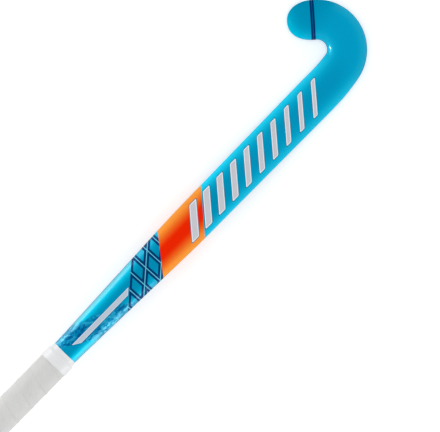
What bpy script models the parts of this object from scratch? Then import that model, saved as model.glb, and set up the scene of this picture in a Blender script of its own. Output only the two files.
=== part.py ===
"""Indoor hockey stick, lying on its flat playing face with the rounded back up.

Metres, +Z up. The head points to +X, the butt to -X and the toe of the hook to +Y.
The origin is on the floor, under the middle of the stick's bounding box.

The stick is a bladder-moulded composite: an outer shell laid up round a foam core in
the head and round two tubes, side by side, in the shaft and handle. A plug closes the
butt, a rubber cap goes over it, a cushioned tape is wound round the handle, and a short
band of finishing tape holds the winding's lower end down.

Distances along the stick are measured from the end of the head ("reach") for the shaft
and handle. Round the hook the same distance is carried on along the centre line, where
it falls below zero, so one number places every section from the toe to the butt.
"""
import math

import bpy
import numpy as np

# Overall length, from the end of the head to the end of the butt cap
STICK_LENGTH = 0.9270

# Hook, in plan
CROOK_RADIUS = 0.0113
HOOK_WIDTH = 0.0454
HOOK_TURN = math.radians(141.0)
HEEL_RADIUS = 0.2150
HEEL_TURN = math.radians(8.7)
TOE_LENGTH = 0.0302
TOE_FULLNESS = 2.2

# Widths of the shaft and handle, and where they are measured
BLADE_WIDTH = 0.0484
BLADE_AT = 0.0790
THROAT_WIDTH = 0.0452
THROAT_AT = 0.3080
NECK_WIDTH = 0.0310
NECK_AT = 0.5000
HANDLE_WIDTH = 0.0304
WIDTH_EASE = 0.0220

# Depths from the flat face to the crown of the back
BLADE_DEPTH = 0.0200
HANDLE_DEPTH = 0.0262
BACK_FULLNESS = 2.3
BLADE_EDGE_HEIGHT = 0.0058
BLADE_EDGE_RADIUS = 0.0048
HANDLE_EDGE_RADIUS = 0.0115
DEPTH_EASE = 0.0400
LEAST_EDGE_RADIUS = 0.0003

# Bow: the rise of the flat face over the floor between the head and the butt
BOW = 0.0200
BOW_AT = 0.3000
BOW_STARTS_AT = 0.0650
BOW_EASE = 0.0800

# Laminate, tubes, core and plug
FIT = 0.0003
SHELL_WALL = 0.0026
TUBE_WALL = 0.0010
CORE_END_AT = 0.1100
PLUG_DEPTH = 0.0320
PLUG_CHAMFER = 0.0012

# Butt cap
CAP_END = 0.0030
CAP_SKIRT = 0.0110
CAP_PROUD = 0.0004
CAP_EDGE = 0.0014

# Wound grip and its finishing tape
GRIP_THICKNESS = 0.0017
GRIP_TAPE_WIDTH = 0.0222
GRIP_LAP_GAP = 0.0006
GRIP_TAIL = 0.0008
TAPE_AT = 0.5000
TAPE_WIDTH = 0.0190
TAPE_ON_SHAFT = 0.0050
TAPE_STEP = 0.0016
TAPE_THICKNESS = 0.0004

# Facets: the flat face, one edge and the back of a section, then rows along the stick
FLAT_STEPS = 4
EDGE_STEPS = 5
BACK_STEPS = 14
TOE_ROWS = 9
TOE_SIDE_ROWS = 7
HOOK_ROWS = 11
HEEL_ROWS = 3
SHAFT_ROWS = 18
HANDLE_ROWS = 6
EASE_SAMPLES = 17
CUTTER_PAST = 0.0100
SMOOTH_ANGLE = math.radians(35.0)

# Sizes that follow from the ones above
HOOK_RADIUS = CROOK_RADIUS + HOOK_WIDTH / 2
HOOK_CENTRE_AT = HOOK_RADIUS + HOOK_WIDTH / 2
HEEL_AT = HOOK_CENTRE_AT + (HEEL_RADIUS - HOOK_RADIUS) * math.sin(HEEL_TURN)
HOOK_AT = HEEL_AT - HEEL_RADIUS * HEEL_TURN
HEAD_END_AT = HOOK_AT - HOOK_RADIUS * (math.pi / 2 - HEEL_TURN)
TOE_AT = HOOK_AT - HOOK_RADIUS * (HOOK_TURN - HEEL_TURN)
SHELL_END_AT = STICK_LENGTH - CAP_END - FIT
PLUG_AT = SHELL_END_AT - PLUG_DEPTH
CAP_AT = STICK_LENGTH - CAP_SKIRT
CAP_WALL = GRIP_THICKNESS + CAP_PROUD
BUTT_LIFT = CAP_WALL + FIT
GRIP_AT = TAPE_AT + TAPE_ON_SHAFT + TAPE_STEP + FIT
GRIP_END_AT = CAP_AT - FIT
GRIP_PITCH = GRIP_TAPE_WIDTH + GRIP_LAP_GAP
RING_POINTS = FLAT_STEPS + 2 * EDGE_STEPS + BACK_STEPS


def clear_scene():
    """Remove the objects that the scene starts with."""
    for thing in list(bpy.data.objects):
        bpy.data.objects.remove(thing, do_unlink=True)


def new_collection(name):
    """Add a collection to the scene."""
    group = bpy.data.collections.new(name)
    bpy.context.scene.collection.children.link(group)
    return group


def eased(reach, places, values, ease):
    """Straight runs between places, with the corners rounded over +-ease."""
    window = reach + np.linspace(-ease, ease, EASE_SAMPLES)
    return float(np.mean(np.interp(window, places, values)))


def bow_rise(reach):
    """Shape of the bow: flat under the head, a rounded crest and a straight handle."""
    crest_to_butt = STICK_LENGTH - BOW_AT
    past = BOW_EASE / crest_to_butt
    places = [BOW_STARTS_AT + BOW_EASE, BOW_AT, STICK_LENGTH + BOW_EASE]
    return eased(reach, places, [0.0, 1.0, -past], BOW_EASE)


BOW_CREST = max(bow_rise(reach) for reach in np.linspace(0.0, STICK_LENGTH, 400))


def face_height(reach):
    """Height of the flat face over the floor."""
    lift = np.interp(reach, [BOW_AT, STICK_LENGTH], [0.0, 1.0])
    return BOW * bow_rise(reach) / BOW_CREST + BUTT_LIFT * float(lift) ** 2


def width_at(reach):
    """Width of the stick across the flat face."""
    places = [HOOK_AT, BLADE_AT, THROAT_AT, NECK_AT, STICK_LENGTH]
    widths = [HOOK_WIDTH, BLADE_WIDTH, THROAT_WIDTH, NECK_WIDTH, HANDLE_WIDTH]
    return eased(reach, places, widths, WIDTH_EASE)


def change_to_handle(reach, blade, handle):
    """Value that runs from the blade's below the throat to the handle's above the neck."""
    return eased(reach, [THROAT_AT, NECK_AT], [blade, handle], DEPTH_EASE)


def centre_line(reach):
    """Point of the plan centre line and the angle that it has turned through."""
    turn = min(max((HEEL_AT - reach) / HEEL_RADIUS, 0.0), HEEL_TURN)
    x = max(reach, HEEL_AT) - HEEL_RADIUS * math.sin(turn)
    y = HEEL_RADIUS * (1 - math.cos(turn))
    if reach < HOOK_AT:
        start = turn
        turn = min(HEEL_TURN + (HOOK_AT - reach) / HOOK_RADIUS, HOOK_TURN)
        x += HOOK_RADIUS * (math.sin(start) - math.sin(turn))
        y += HOOK_RADIUS * (math.cos(start) - math.cos(turn))
    if reach < TOE_AT:
        x -= (TOE_AT - reach) * math.cos(turn)
        y += (TOE_AT - reach) * math.sin(turn)
    return x, y, turn


def section_ring(half, flat, base, edge, top):
    """Closed section: flat face, two rounded edges and a crowned back, as (across, up).

    It runs from the heel side of the flat face to the toe side, over the back and down.
    """
    points = []
    for step in range(FLAT_STEPS):
        points.append((flat * (2 * step / FLAT_STEPS - 1), base))
    for step in range(EDGE_STEPS):
        angle = math.pi / 2 * (step / EDGE_STEPS - 1)
        points.append((flat + (half - flat) * math.cos(angle), edge + (edge - base) * math.sin(angle)))
    for step in range(BACK_STEPS):
        angle = math.pi * step / BACK_STEPS
        across = math.copysign(abs(math.cos(angle)) ** (2 / BACK_FULLNESS), math.cos(angle))
        points.append((half * across, edge + (top - edge) * math.sin(angle) ** (2 / BACK_FULLNESS)))
    for step in range(EDGE_STEPS):
        angle = math.pi / 2 * (step / EDGE_STEPS)
        points.append((-flat - (half - flat) * math.cos(angle), edge - (edge - base) * math.sin(angle)))
    return np.array(points)


def section_at(reach, inset):
    """Section of the shaft or hook, drawn in by inset, or swelled where that is negative."""
    half = width_at(reach) / 2 - inset
    corner = change_to_handle(reach, BLADE_EDGE_RADIUS, HANDLE_EDGE_RADIUS) - inset
    corner = max(corner, LEAST_EDGE_RADIUS)
    edge = change_to_handle(reach, BLADE_EDGE_HEIGHT, HANDLE_DEPTH / 2)
    depth = change_to_handle(reach, BLADE_DEPTH, HANDLE_DEPTH)
    base = min(inset, edge - LEAST_EDGE_RADIUS)
    return section_ring(half, half - corner, base, edge, depth - inset)


def toe_section(share, inset):
    """Section of the rounded toe at a share of its length, and how far out it lies."""
    length = TOE_LENGTH - inset
    corner = max(BLADE_EDGE_RADIUS - inset, LEAST_EDGE_RADIUS)
    run = length * share
    half = (HOOK_WIDTH / 2 - inset) * (1 - share ** TOE_FULLNESS) ** (1 / TOE_FULLNESS)
    flat_share = min(run / (length - corner), 1.0)
    flat = (HOOK_WIDTH / 2 - inset - corner) * (1 - flat_share ** TOE_FULLNESS) ** (1 / TOE_FULLNESS)
    past_flat = max(run - (length - corner), 0.0) / corner
    base = BLADE_EDGE_HEIGHT - (BLADE_EDGE_HEIGHT - inset) * math.sqrt(max(1 - past_flat ** 2, 0.0))
    crown = (1 - share ** BACK_FULLNESS) ** (1 / BACK_FULLNESS)
    top = BLADE_EDGE_HEIGHT + (BLADE_DEPTH - inset - BLADE_EDGE_HEIGHT) * crown
    return section_ring(half, min(flat, half), base, BLADE_EDGE_HEIGHT, top), run


def place_section(ring, reach):
    """Stand a section square on the centre line, in the stick's own plan."""
    x, y, turn = centre_line(reach)
    across, up = ring[:, 0], ring[:, 1]
    height = face_height(x)
    return np.column_stack([x + across * math.sin(turn), y + across * math.cos(turn), height + up])


def stick_rows():
    """Places of the sections from the hook's end to past the butt, shared by all pieces."""
    toe_side = np.linspace(TOE_AT, HEAD_END_AT, TOE_SIDE_ROWS, endpoint=False)
    hook = np.linspace(HEAD_END_AT, HOOK_AT, HOOK_ROWS, endpoint=False)
    heel = np.linspace(HOOK_AT, HEEL_AT, HEEL_ROWS, endpoint=False)
    shaft = np.linspace(HEEL_AT, NECK_AT + DEPTH_EASE, SHAFT_ROWS, endpoint=False)
    handle = np.linspace(NECK_AT + DEPTH_EASE, STICK_LENGTH + CUTTER_PAST, HANDLE_ROWS)
    return np.concatenate([toe_side, hook, heel, shaft, handle])


ROWS = stick_rows()


def row_ring(reach, inset):
    """Section at any reach, on the straight facets between the two rows beside it."""
    after = int(np.clip(np.searchsorted(ROWS, reach), 1, len(ROWS) - 1))
    start, end = ROWS[after - 1], ROWS[after]
    share = (reach - start) / (end - start)
    first = place_section(section_at(start, inset), start)
    last = place_section(section_at(end, inset), end)
    return first * (1 - share) + last * share


def toe_rings(inset):
    """Sections of the toe from near its tip to where the hook begins, and the tip itself."""
    rings = []
    for row in range(TOE_ROWS - 1, 0, -1):
        share = math.sin(math.pi / 2 * row / TOE_ROWS)
        ring, run = toe_section(share, inset)
        rings.append(place_section(ring, TOE_AT - run))
    tip_x, tip_y, _ = centre_line(TOE_AT - (TOE_LENGTH - inset))
    return rings, np.array([tip_x, tip_y, face_height(tip_x) + BLADE_EDGE_HEIGHT])


def rings_between(start, end, inset):
    """Sections from one reach to another, with every shared row between them."""
    inner = [reach for reach in ROWS if start < reach < end]
    return [row_ring(reach, inset) for reach in [start] + inner + [end]]


def plan_middle():
    """Middle of the stick's extent, along and across, from its outer sections."""
    toe, _ = toe_rings(0.0)
    outline = np.concatenate(toe + rings_between(TOE_AT, NECK_AT, 0.0))[:, :2]
    low, high = outline.min(axis=0), outline.max(axis=0)
    return (low[0] + STICK_LENGTH) / 2, (low[1] + high[1]) / 2


MIDDLE_X, MIDDLE_Y = plan_middle()


def to_world(points):
    """Stick's own plan to the object's frame, with the origin at the middle."""
    points = np.asarray(points, dtype=float)
    return np.column_stack([MIDDLE_X - points[:, 0], points[:, 1] - MIDDLE_Y, points[:, 2]])


def add_mesh(name, points, faces, group):
    """Mesh object from points in the stick's own plan, with its faces turned outwards."""
    mesh = bpy.data.meshes.new(name)
    mesh.from_pydata([tuple(point) for point in to_world(points)], [], faces)
    thing = bpy.data.objects.new(name, mesh)
    group.objects.link(thing)
    bpy.context.view_layer.objects.active = thing
    bpy.ops.object.select_all(action="DESELECT")
    thing.select_set(True)
    bpy.ops.object.mode_set(mode="EDIT")
    bpy.ops.mesh.select_all(action="SELECT")
    bpy.ops.mesh.normals_make_consistent(inside=False)
    bpy.ops.object.mode_set(mode="OBJECT")
    mesh.shade_smooth()
    mesh.set_sharp_from_angle(angle=SMOOTH_ANGLE)
    return thing


def loft(name, rings, group, tip=None, ends=True):
    """Skin over rings of equal count, from the tip, or a flat end, to a flat end."""
    count = len(rings[0])
    points = np.concatenate(rings)
    faces = []
    for row in range(len(rings) - 1):
        for step in range(count):
            after = (step + 1) % count
            low, high = row * count, (row + 1) * count
            faces.append((low + step, low + after, high + after, high + step))
    if tip is not None:
        points = np.vstack([points, tip])
        faces += [(len(points) - 1, (step + 1) % count, step) for step in range(count)]
    elif ends:
        faces.append(tuple(range(count)))
    if ends:
        last = (len(rings) - 1) * count
        faces.append(tuple(last + step for step in range(count)))
    return add_mesh(name, points, faces, group)


def hooked_loft(name, end, inset, group):
    """Solid that fills the stick's outline from the toe to a flat end."""
    toe, tip = toe_rings(inset)
    return loft(name, toe + rings_between(TOE_AT, end, inset), group, tip=tip)


def cut(thing, cutter):
    """Cut a piece with a hidden wire-frame cutter."""
    cutter.hide_render = True
    cutter.display_type = "WIRE"
    boolean = thing.modifiers.new("Cut", "BOOLEAN")
    boolean.operation = "DIFFERENCE"
    boolean.solver = "EXACT"
    boolean.object = cutter


def round_edges(thing, width, segments):
    """Round the sharp edges of a piece."""
    bevel = thing.modifiers.new("Edges", "BEVEL")
    bevel.width = width
    bevel.segments = segments
    bevel.limit_method = "ANGLE"
    bevel.angle_limit = math.radians(60.0)


def finish(thing, name, colour, roughness, metallic=0.0):
    """Give a piece its own Principled material."""
    material = bpy.data.materials.new(name)
    material.use_nodes = True
    shader = material.node_tree.nodes["Principled BSDF"]
    shader.inputs["Base Color"].default_value = (*colour, 1.0)
    shader.inputs["Roughness"].default_value = roughness
    shader.inputs["Metallic"].default_value = metallic
    thing.data.materials.append(material)


def build_shell(parts, cutters):
    """Moulded laminate: the hooked head, bowed shaft and handle in one hollow shell."""
    shell = hooked_loft("composite_shell", SHELL_END_AT, 0.0, parts)
    cavity = hooked_loft("shell_cavity", SHELL_END_AT + CUTTER_PAST / 2, SHELL_WALL, cutters)
    cut(shell, cavity)
    finish(shell, "blue_lacquered_laminate", (0.0, 0.37, 0.60), 0.25)


def build_core(parts):
    """Foam core that the head and the bottom of the shaft are moulded round."""
    core = hooked_loft("head_core", CORE_END_AT, SHELL_WALL + FIT, parts)
    finish(core, "rigid_foam", (0.72, 0.62, 0.38), 0.85)


def half_rings(rings, web, toe_side):
    """One side of each ring, closed by a flat web at a distance from the middle."""
    bottom = FLAT_STEPS // 2
    crown = FLAT_STEPS + EDGE_STEPS + BACK_STEPS // 2
    if toe_side:
        chosen = list(range(bottom, crown + 1))
    else:
        chosen = list(range(crown, RING_POINTS)) + list(range(bottom + 1))
    halves = []
    for ring in rings:
        half = ring[chosen].copy()
        half[[0, -1], 1] += web if toe_side else -web
        halves.append(half)
    return halves


def build_tube(name, toe_side, parts, cutters):
    """One of the two tubes whose flat walls meet as the bridge down the shaft's middle."""
    outer = SHELL_WALL + FIT
    start, end = CORE_END_AT + FIT, PLUG_AT - FIT
    rings = rings_between(start, end, outer)
    tube = loft(name, half_rings(rings, FIT / 2, toe_side), parts)
    bore_rings = rings_between(start - CUTTER_PAST, end + CUTTER_PAST, outer + TUBE_WALL)
    bore = loft(name + "_bore", half_rings(bore_rings, FIT / 2 + TUBE_WALL, toe_side), cutters)
    cut(tube, bore)
    finish(tube, name + "_carbon", (0.02, 0.02, 0.023), 0.45)


def build_plug(parts):
    """Plug bonded into the open butt of the shell."""
    rings = rings_between(PLUG_AT, SHELL_END_AT, SHELL_WALL + FIT)
    plug = loft("butt_plug", rings, parts)
    round_edges(plug, PLUG_CHAMFER, 1)
    finish(plug, "moulded_nylon", (0.55, 0.53, 0.48), 0.55)


def build_cap(parts, cutters):
    """Rubber cap over the butt, level with the grip and a little proud of it."""
    rings = rings_between(CAP_AT, STICK_LENGTH, -(FIT + CAP_WALL))
    cap = loft("butt_cap", rings, parts)
    round_edges(cap, CAP_EDGE, 3)
    socket_rings = rings_between(CAP_AT - CUTTER_PAST, STICK_LENGTH - CAP_END, -FIT)
    cut(cap, loft("cap_socket", socket_rings, cutters))
    finish(cap, "white_rubber", (0.80, 0.80, 0.79), 0.60)


def grip_lap(step):
    """Lower and upper edge of the winding at a step, cut square at the handle's ends."""
    low = GRIP_AT + GRIP_PITCH * step / RING_POINTS
    high = low + GRIP_TAPE_WIDTH
    return max(low, GRIP_AT), min(high, GRIP_END_AT)


def grip_section(step):
    """Four corners of the tape's section at a step: inner and outer, low and high."""
    low, high = grip_lap(step)
    inner, outer = -FIT, -(FIT + GRIP_THICKNESS)
    corners = [(low, inner), (high, inner), (high, outer), (low, outer)]
    return [row_ring(reach, inset)[step % RING_POINTS] for reach, inset in corners]


def print_least_gap(sections):
    """Measure and print the winding's least gap to itself, turn by turn."""
    first = np.array(sections[:-RING_POINTS])
    second = np.array(sections[RING_POINTS:])
    gaps = [np.linalg.norm(second[:, low] - first[:, high], axis=1) for low, high in ((0, 1), (3, 2))]
    print("grip_tape least gap to itself, mm:", round(1000 * float(np.min(gaps)), 3))


def build_grip(parts):
    """Cushioned tape wound up the handle as one unbroken strip."""
    first = -math.floor(RING_POINTS * (GRIP_TAPE_WIDTH - GRIP_TAIL) / GRIP_PITCH)
    last = math.floor(RING_POINTS * (GRIP_END_AT - GRIP_AT - GRIP_TAIL) / GRIP_PITCH)
    sections = [grip_section(step) for step in range(first, last + 1)]
    print("grip_tape turns:", round(len(sections) / RING_POINTS, 1))
    print_least_gap(sections)
    grip = loft("grip_tape", [np.array(section) for section in sections], parts)
    finish(grip, "white_cushioned_tape", (0.78, 0.78, 0.77), 0.75)


def build_finishing_tape(parts):
    """Thin band that steps from the bare shaft up over the winding's lower end."""
    on_grip = -(FIT + GRIP_THICKNESS + FIT)
    foot = TAPE_AT + TAPE_ON_SHAFT
    rings = [row_ring(reach, -FIT) for reach in (TAPE_AT, foot)]
    rings += [row_ring(reach, on_grip) for reach in (foot + TAPE_STEP, TAPE_AT + TAPE_WIDTH)]
    tape = loft("finishing_tape", rings, parts, ends=False)
    wall = tape.modifiers.new("Wall", "SOLIDIFY")
    wall.thickness = TAPE_THICKNESS
    wall.offset = 1.0
    wall.use_even_offset = True
    finish(tape, "white_vinyl_tape", (0.82, 0.82, 0.82), 0.35)


def main():
    """Build every piece of the stick."""
    clear_scene()
    parts = new_collection("indoor_hockey_stick")
    cutters = new_collection("cutters")
    build_shell(parts, cutters)
    build_core(parts)
    build_tube("toe_side_tube", True, parts, cutters)
    build_tube("heel_side_tube", False, parts, cutters)
    build_plug(parts)
    build_cap(parts, cutters)
    build_grip(parts)
    build_finishing_tape(parts)


main()
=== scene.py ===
"""Indoor hockey stick, dressed for a plain studio picture taken from straight above.

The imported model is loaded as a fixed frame: metres, +Z up, the head to +X, the butt to -X
and the toe of the hook to +Y. The stick lies on its flat playing face, so the rounded back
is what the camera sees. The lacquered shell, the wound grip, its finishing tape and the
rubber butt cap are laid up again here as fine sheets over the same sections as the solids
they stand for. The core, the two tubes and the plug inside keep their solids.

Distances along the stick ("reach") are measured from the end of the head. Round the hook
they are carried on along the centre line, where they fall below zero.
"""

import logging
import math
from abc import ABC, abstractmethod
from dataclasses import dataclass
from enum import Enum
from functools import cached_property
from typing import Any, ClassVar, Mapping, Sequence

import bpy
import numpy as np
from mathutils import Matrix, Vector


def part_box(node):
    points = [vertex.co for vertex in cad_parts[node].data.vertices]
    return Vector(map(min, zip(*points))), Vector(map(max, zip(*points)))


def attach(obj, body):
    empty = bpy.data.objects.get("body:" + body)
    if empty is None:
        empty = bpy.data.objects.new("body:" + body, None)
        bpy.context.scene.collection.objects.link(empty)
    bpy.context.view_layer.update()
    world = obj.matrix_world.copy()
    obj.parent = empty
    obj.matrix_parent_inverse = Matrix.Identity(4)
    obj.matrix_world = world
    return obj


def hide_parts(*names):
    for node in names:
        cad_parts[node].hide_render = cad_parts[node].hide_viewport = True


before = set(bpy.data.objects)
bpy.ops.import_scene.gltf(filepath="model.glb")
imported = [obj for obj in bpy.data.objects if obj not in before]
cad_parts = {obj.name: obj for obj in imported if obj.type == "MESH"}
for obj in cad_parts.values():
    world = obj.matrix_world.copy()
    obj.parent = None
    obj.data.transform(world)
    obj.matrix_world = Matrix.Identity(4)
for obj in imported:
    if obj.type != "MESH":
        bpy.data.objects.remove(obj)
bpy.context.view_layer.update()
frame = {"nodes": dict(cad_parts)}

LOG = logging.getLogger("stick")
MM = 0.001
LAY_NAME = "lay"
GRID_DIGITS = 6
ROOT = "root"

Colour = tuple[float, float, float, float]
Pair = tuple[float, float]
Point = tuple[float, float, float]
Row = tuple[np.ndarray, np.ndarray]
Profile = list[tuple[float, float, float]]


class SheetEnd(Enum):
    """How an end of a laid sheet is finished."""

    OPEN = "open"
    POLE = "pole"
    FILLED = "filled"


class TubeSide(Enum):
    """The two tubes in the shaft, by the side of the stick that they lie on."""

    TOE = "toe_side_tube"
    HEEL = "heel_side_tube"


def srgb(red: int, green: int, blue: int) -> Colour:
    """Colour as a picture editor gives it, 0 to 255, as the linear colour of a shader.

    Args:
        red: Red of the colour, 0 to 255.
        green: Green of the colour.
        blue: Blue of the colour.

    Returns:
        The linear colour, by the standard sRGB curve, with an alpha of one.
    """
    shares = np.array([red, green, blue]) / 255.0
    linear = np.where(shares <= 0.04045, shares / 12.92, ((shares + 0.055) / 1.055) ** 2.4)
    return (float(linear[0]), float(linear[1]), float(linear[2]), 1.0)


# Form of the stick


@dataclass(frozen=True)
class RingCounts:
    """Steps round a section: along the flat face, down one edge and over the back."""

    flat: int = 14
    edge: int = 9
    back: int = 54


@dataclass(frozen=True)
class Section:
    """One section across the stick: a flat face, two rounded edges and a crowned back.

    The flat face reaches out to flat on each side at the height base, the edges bulge to
    half at the height edge, and the back rises to top. Its fullness is 2 for a half ellipse
    and more for a squarer back.
    """

    half: float
    flat: float
    base: float
    edge: float
    top: float
    fullness: float

    def ring(self, counts: RingCounts) -> np.ndarray:
        """Closed ring from the heel side of the flat face round by the toe side.

        Args:
            counts: Steps along each part of the ring.

        Returns:
            Points as (across, up), without the first one again at the end.
        """
        bulge = self.half - self.flat
        low = self.edge - self.base
        high = self.top - self.edge
        power = 2 / self.fullness
        flat = np.arange(counts.flat) / counts.flat * 2 - 1
        face = np.column_stack([self.flat * flat, np.full(counts.flat, self.base)])
        turn = math.pi / 2 * (np.arange(counts.edge) / counts.edge - 1)
        toe_edge = np.column_stack([self.flat + bulge * np.cos(turn), self.edge + low * np.sin(turn)])
        turn = math.pi * np.arange(counts.back) / counts.back
        across = np.copysign(np.abs(np.cos(turn)) ** power, np.cos(turn))
        back = np.column_stack([self.half * across, self.edge + high * np.sin(turn) ** power])
        turn = math.pi / 2 * np.arange(counts.edge) / counts.edge
        heel_edge = np.column_stack([-self.flat - bulge * np.cos(turn), self.edge - low * np.sin(turn)])
        return np.concatenate([face, toe_edge, back, heel_edge])


@dataclass(frozen=True)
class StickForm:
    """Plan, bow and sections of the stick, as its solids have them, in metres and radians."""

    length: float = 0.9270
    crook_radius: float = 0.0113
    hook_width: float = 0.0454
    hook_turn: float = math.radians(141.0)
    heel_radius: float = 0.2150
    heel_turn: float = math.radians(8.7)
    toe_length: float = 0.0302
    toe_fullness: float = 2.2
    blade_width: float = 0.0484
    blade_at: float = 0.0790
    throat_width: float = 0.0452
    throat_at: float = 0.3080
    neck_width: float = 0.0310
    neck_at: float = 0.5000
    handle_width: float = 0.0304
    width_ease: float = 0.0220
    blade_depth: float = 0.0200
    handle_depth: float = 0.0262
    back_fullness: float = 2.3
    blade_edge_height: float = 0.0058
    blade_edge_radius: float = 0.0048
    handle_edge_radius: float = 0.0115
    depth_ease: float = 0.0400
    least_radius: float = 0.0003
    bow: float = 0.0200
    bow_at: float = 0.3000
    bow_starts_at: float = 0.0650
    bow_ease: float = 0.0800
    butt_lift: float = 0.0024
    ease_samples: int = 17
    crest_samples: int = 400

    @property
    def middle_along(self) -> float:
        """Reach of the origin."""
        return self.length / 2

    @cached_property
    def middle_across(self) -> float:
        """Distance from the handle's middle to the origin, from the butt cap's own place."""
        low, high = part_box("butt_cap")
        return -(low[1] + high[1]) / 2

    @cached_property
    def bow_crest(self) -> float:
        """Highest value of the bow's shape, where the whole bow is reached."""
        return max(self.bow_shape(reach) for reach in np.linspace(0.0, self.length, self.crest_samples))

    @property
    def hook_radius(self) -> float:
        """Radius of the hook's centre line."""
        return self.crook_radius + self.hook_width / 2

    @property
    def heel_at(self) -> float:
        """Reach at which the heel begins to turn."""
        centre_at = self.hook_radius + self.hook_width / 2
        return centre_at + (self.heel_radius - self.hook_radius) * math.sin(self.heel_turn)

    @property
    def hook_at(self) -> float:
        """Reach at which the hook's tight turn begins."""
        return self.heel_at - self.heel_radius * self.heel_turn

    @property
    def toe_at(self) -> float:
        """Reach at which the hook's turn ends and the rounded toe begins."""
        return self.hook_at - self.hook_radius * (self.hook_turn - self.heel_turn)

    def eased(
        self, reach: float, places: Sequence[float], values: Sequence[float], ease: float
    ) -> float:
        """Value at a reach on straight runs between places, with corners rounded by the ease."""
        window = reach + np.linspace(-ease, ease, self.ease_samples)
        return float(np.mean(np.interp(window, places, values)))

    def bow_shape(self, reach: float) -> float:
        """Bow before it is scaled: flat under the head, a rounded crest and a straight handle.

        Args:
            reach: Where it is wanted.

        Returns:
            The height as a share of the bow's own height.
        """
        past = self.bow_ease / (self.length - self.bow_at)
        places = [self.bow_starts_at + self.bow_ease, self.bow_at, self.length + self.bow_ease]
        return self.eased(reach, places, [0.0, 1.0, -past], self.bow_ease)

    def face_height(self, reach: float) -> float:
        """Height of the flat face over the floor, from the bow and the cap's lift."""
        lift = float(np.interp(reach, [self.bow_at, self.length], [0.0, 1.0]))
        return self.bow * self.bow_shape(reach) / self.bow_crest + self.butt_lift * lift ** 2

    def width(self, reach: float) -> float:
        """Width of the stick across its flat face.

        Args:
            reach: Where it is wanted.

        Returns:
            The width in metres.
        """
        places = [self.hook_at, self.blade_at, self.throat_at, self.neck_at, self.length]
        head = [self.hook_width, self.blade_width]
        shaft = [self.throat_width, self.neck_width, self.handle_width]
        return self.eased(reach, places, head + shaft, self.width_ease)

    def to_handle(self, reach: float, blade: float, handle: float) -> float:
        """Value that changes from the blade's to the handle's between throat and neck."""
        return self.eased(reach, [self.throat_at, self.neck_at], [blade, handle], self.depth_ease)

    def centre_line(self, reach: float) -> tuple[float, float, float]:
        """Centre line of the whole stick in plan.

        Args:
            reach: Where the point is wanted.

        Returns:
            How far along and aside the point lies, and the angle that the line has turned through.
        """
        turn = min(max((self.heel_at - reach) / self.heel_radius, 0.0), self.heel_turn)
        along = max(reach, self.heel_at) - self.heel_radius * math.sin(turn)
        aside = self.heel_radius * (1 - math.cos(turn))
        if reach < self.hook_at:
            start = turn
            turn = min(self.heel_turn + (self.hook_at - reach) / self.hook_radius, self.hook_turn)
            along += self.hook_radius * (math.sin(start) - math.sin(turn))
            aside += self.hook_radius * (math.cos(start) - math.cos(turn))
        if reach < self.toe_at:
            along -= (self.toe_at - reach) * math.cos(turn)
            aside += (self.toe_at - reach) * math.sin(turn)
        return along, aside, turn

    def section(self, reach: float, lift: float = 0.0) -> Section:
        """Section of the shaft or hook.

        Args:
            reach: Where it is taken.
            lift: How far it stands out of the stick's own surface.

        Returns:
            The section.
        """
        half = self.width(reach) / 2 + lift
        corner = self.to_handle(reach, self.blade_edge_radius, self.handle_edge_radius) + lift
        corner = max(corner, self.least_radius)
        edge = self.to_handle(reach, self.blade_edge_height, self.handle_depth / 2)
        depth = self.to_handle(reach, self.blade_depth, self.handle_depth)
        return Section(half, half - corner, -lift, edge, depth + lift, self.back_fullness)

    def toe_section(self, share: float) -> Section:
        """Section of the rounded toe.

        Args:
            share: Place as a share of the toe's length.

        Returns:
            The section.
        """
        corner = self.blade_edge_radius
        power = self.toe_fullness
        run = self.toe_length * share
        half = self.hook_width / 2 * (1 - share ** power) ** (1 / power)
        flat_share = min(run / (self.toe_length - corner), 1.0)
        flat = (self.hook_width / 2 - corner) * (1 - flat_share ** power) ** (1 / power)
        past_flat = max(run - (self.toe_length - corner), 0.0) / corner
        base = self.blade_edge_height * (1 - math.sqrt(max(1 - past_flat ** 2, 0.0)))
        crown = (1 - share ** self.back_fullness) ** (1 / self.back_fullness)
        top = self.blade_edge_height + (self.blade_depth - self.blade_edge_height) * crown
        return Section(half, min(flat, half), base, self.blade_edge_height, top, self.back_fullness)

    def place(self, ring: np.ndarray, reach: float) -> np.ndarray:
        """Stand a ring square on the centre line, in the object's own frame.

        Args:
            ring: Points as (across, up).
            reach: Where the ring stands.

        Returns:
            The points in metres, with the origin under the middle of the stick.
        """
        along, aside, turn = self.centre_line(reach)
        plan_along = along + ring[:, 0] * math.sin(turn)
        plan_aside = aside + ring[:, 0] * math.cos(turn)
        up = self.face_height(along) + ring[:, 1]
        return np.column_stack([self.middle_along - plan_along, plan_aside - self.middle_across, up])


# Modelling helpers


def deselect_everything() -> None:
    """Leave nothing selected, because an operator works on all that is."""
    bpy.ops.object.select_all(action="DESELECT")


def make_active(piece: bpy.types.Object) -> None:
    """Select one piece alone and make it the active one.

    Args:
        piece: The piece.
    """
    deselect_everything()
    piece.select_set(True)
    bpy.context.view_layer.objects.active = piece


def closed_ring(ring: np.ndarray) -> np.ndarray:
    """Ring with its first point again at its end."""
    return np.concatenate([ring, ring[:1]])


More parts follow.
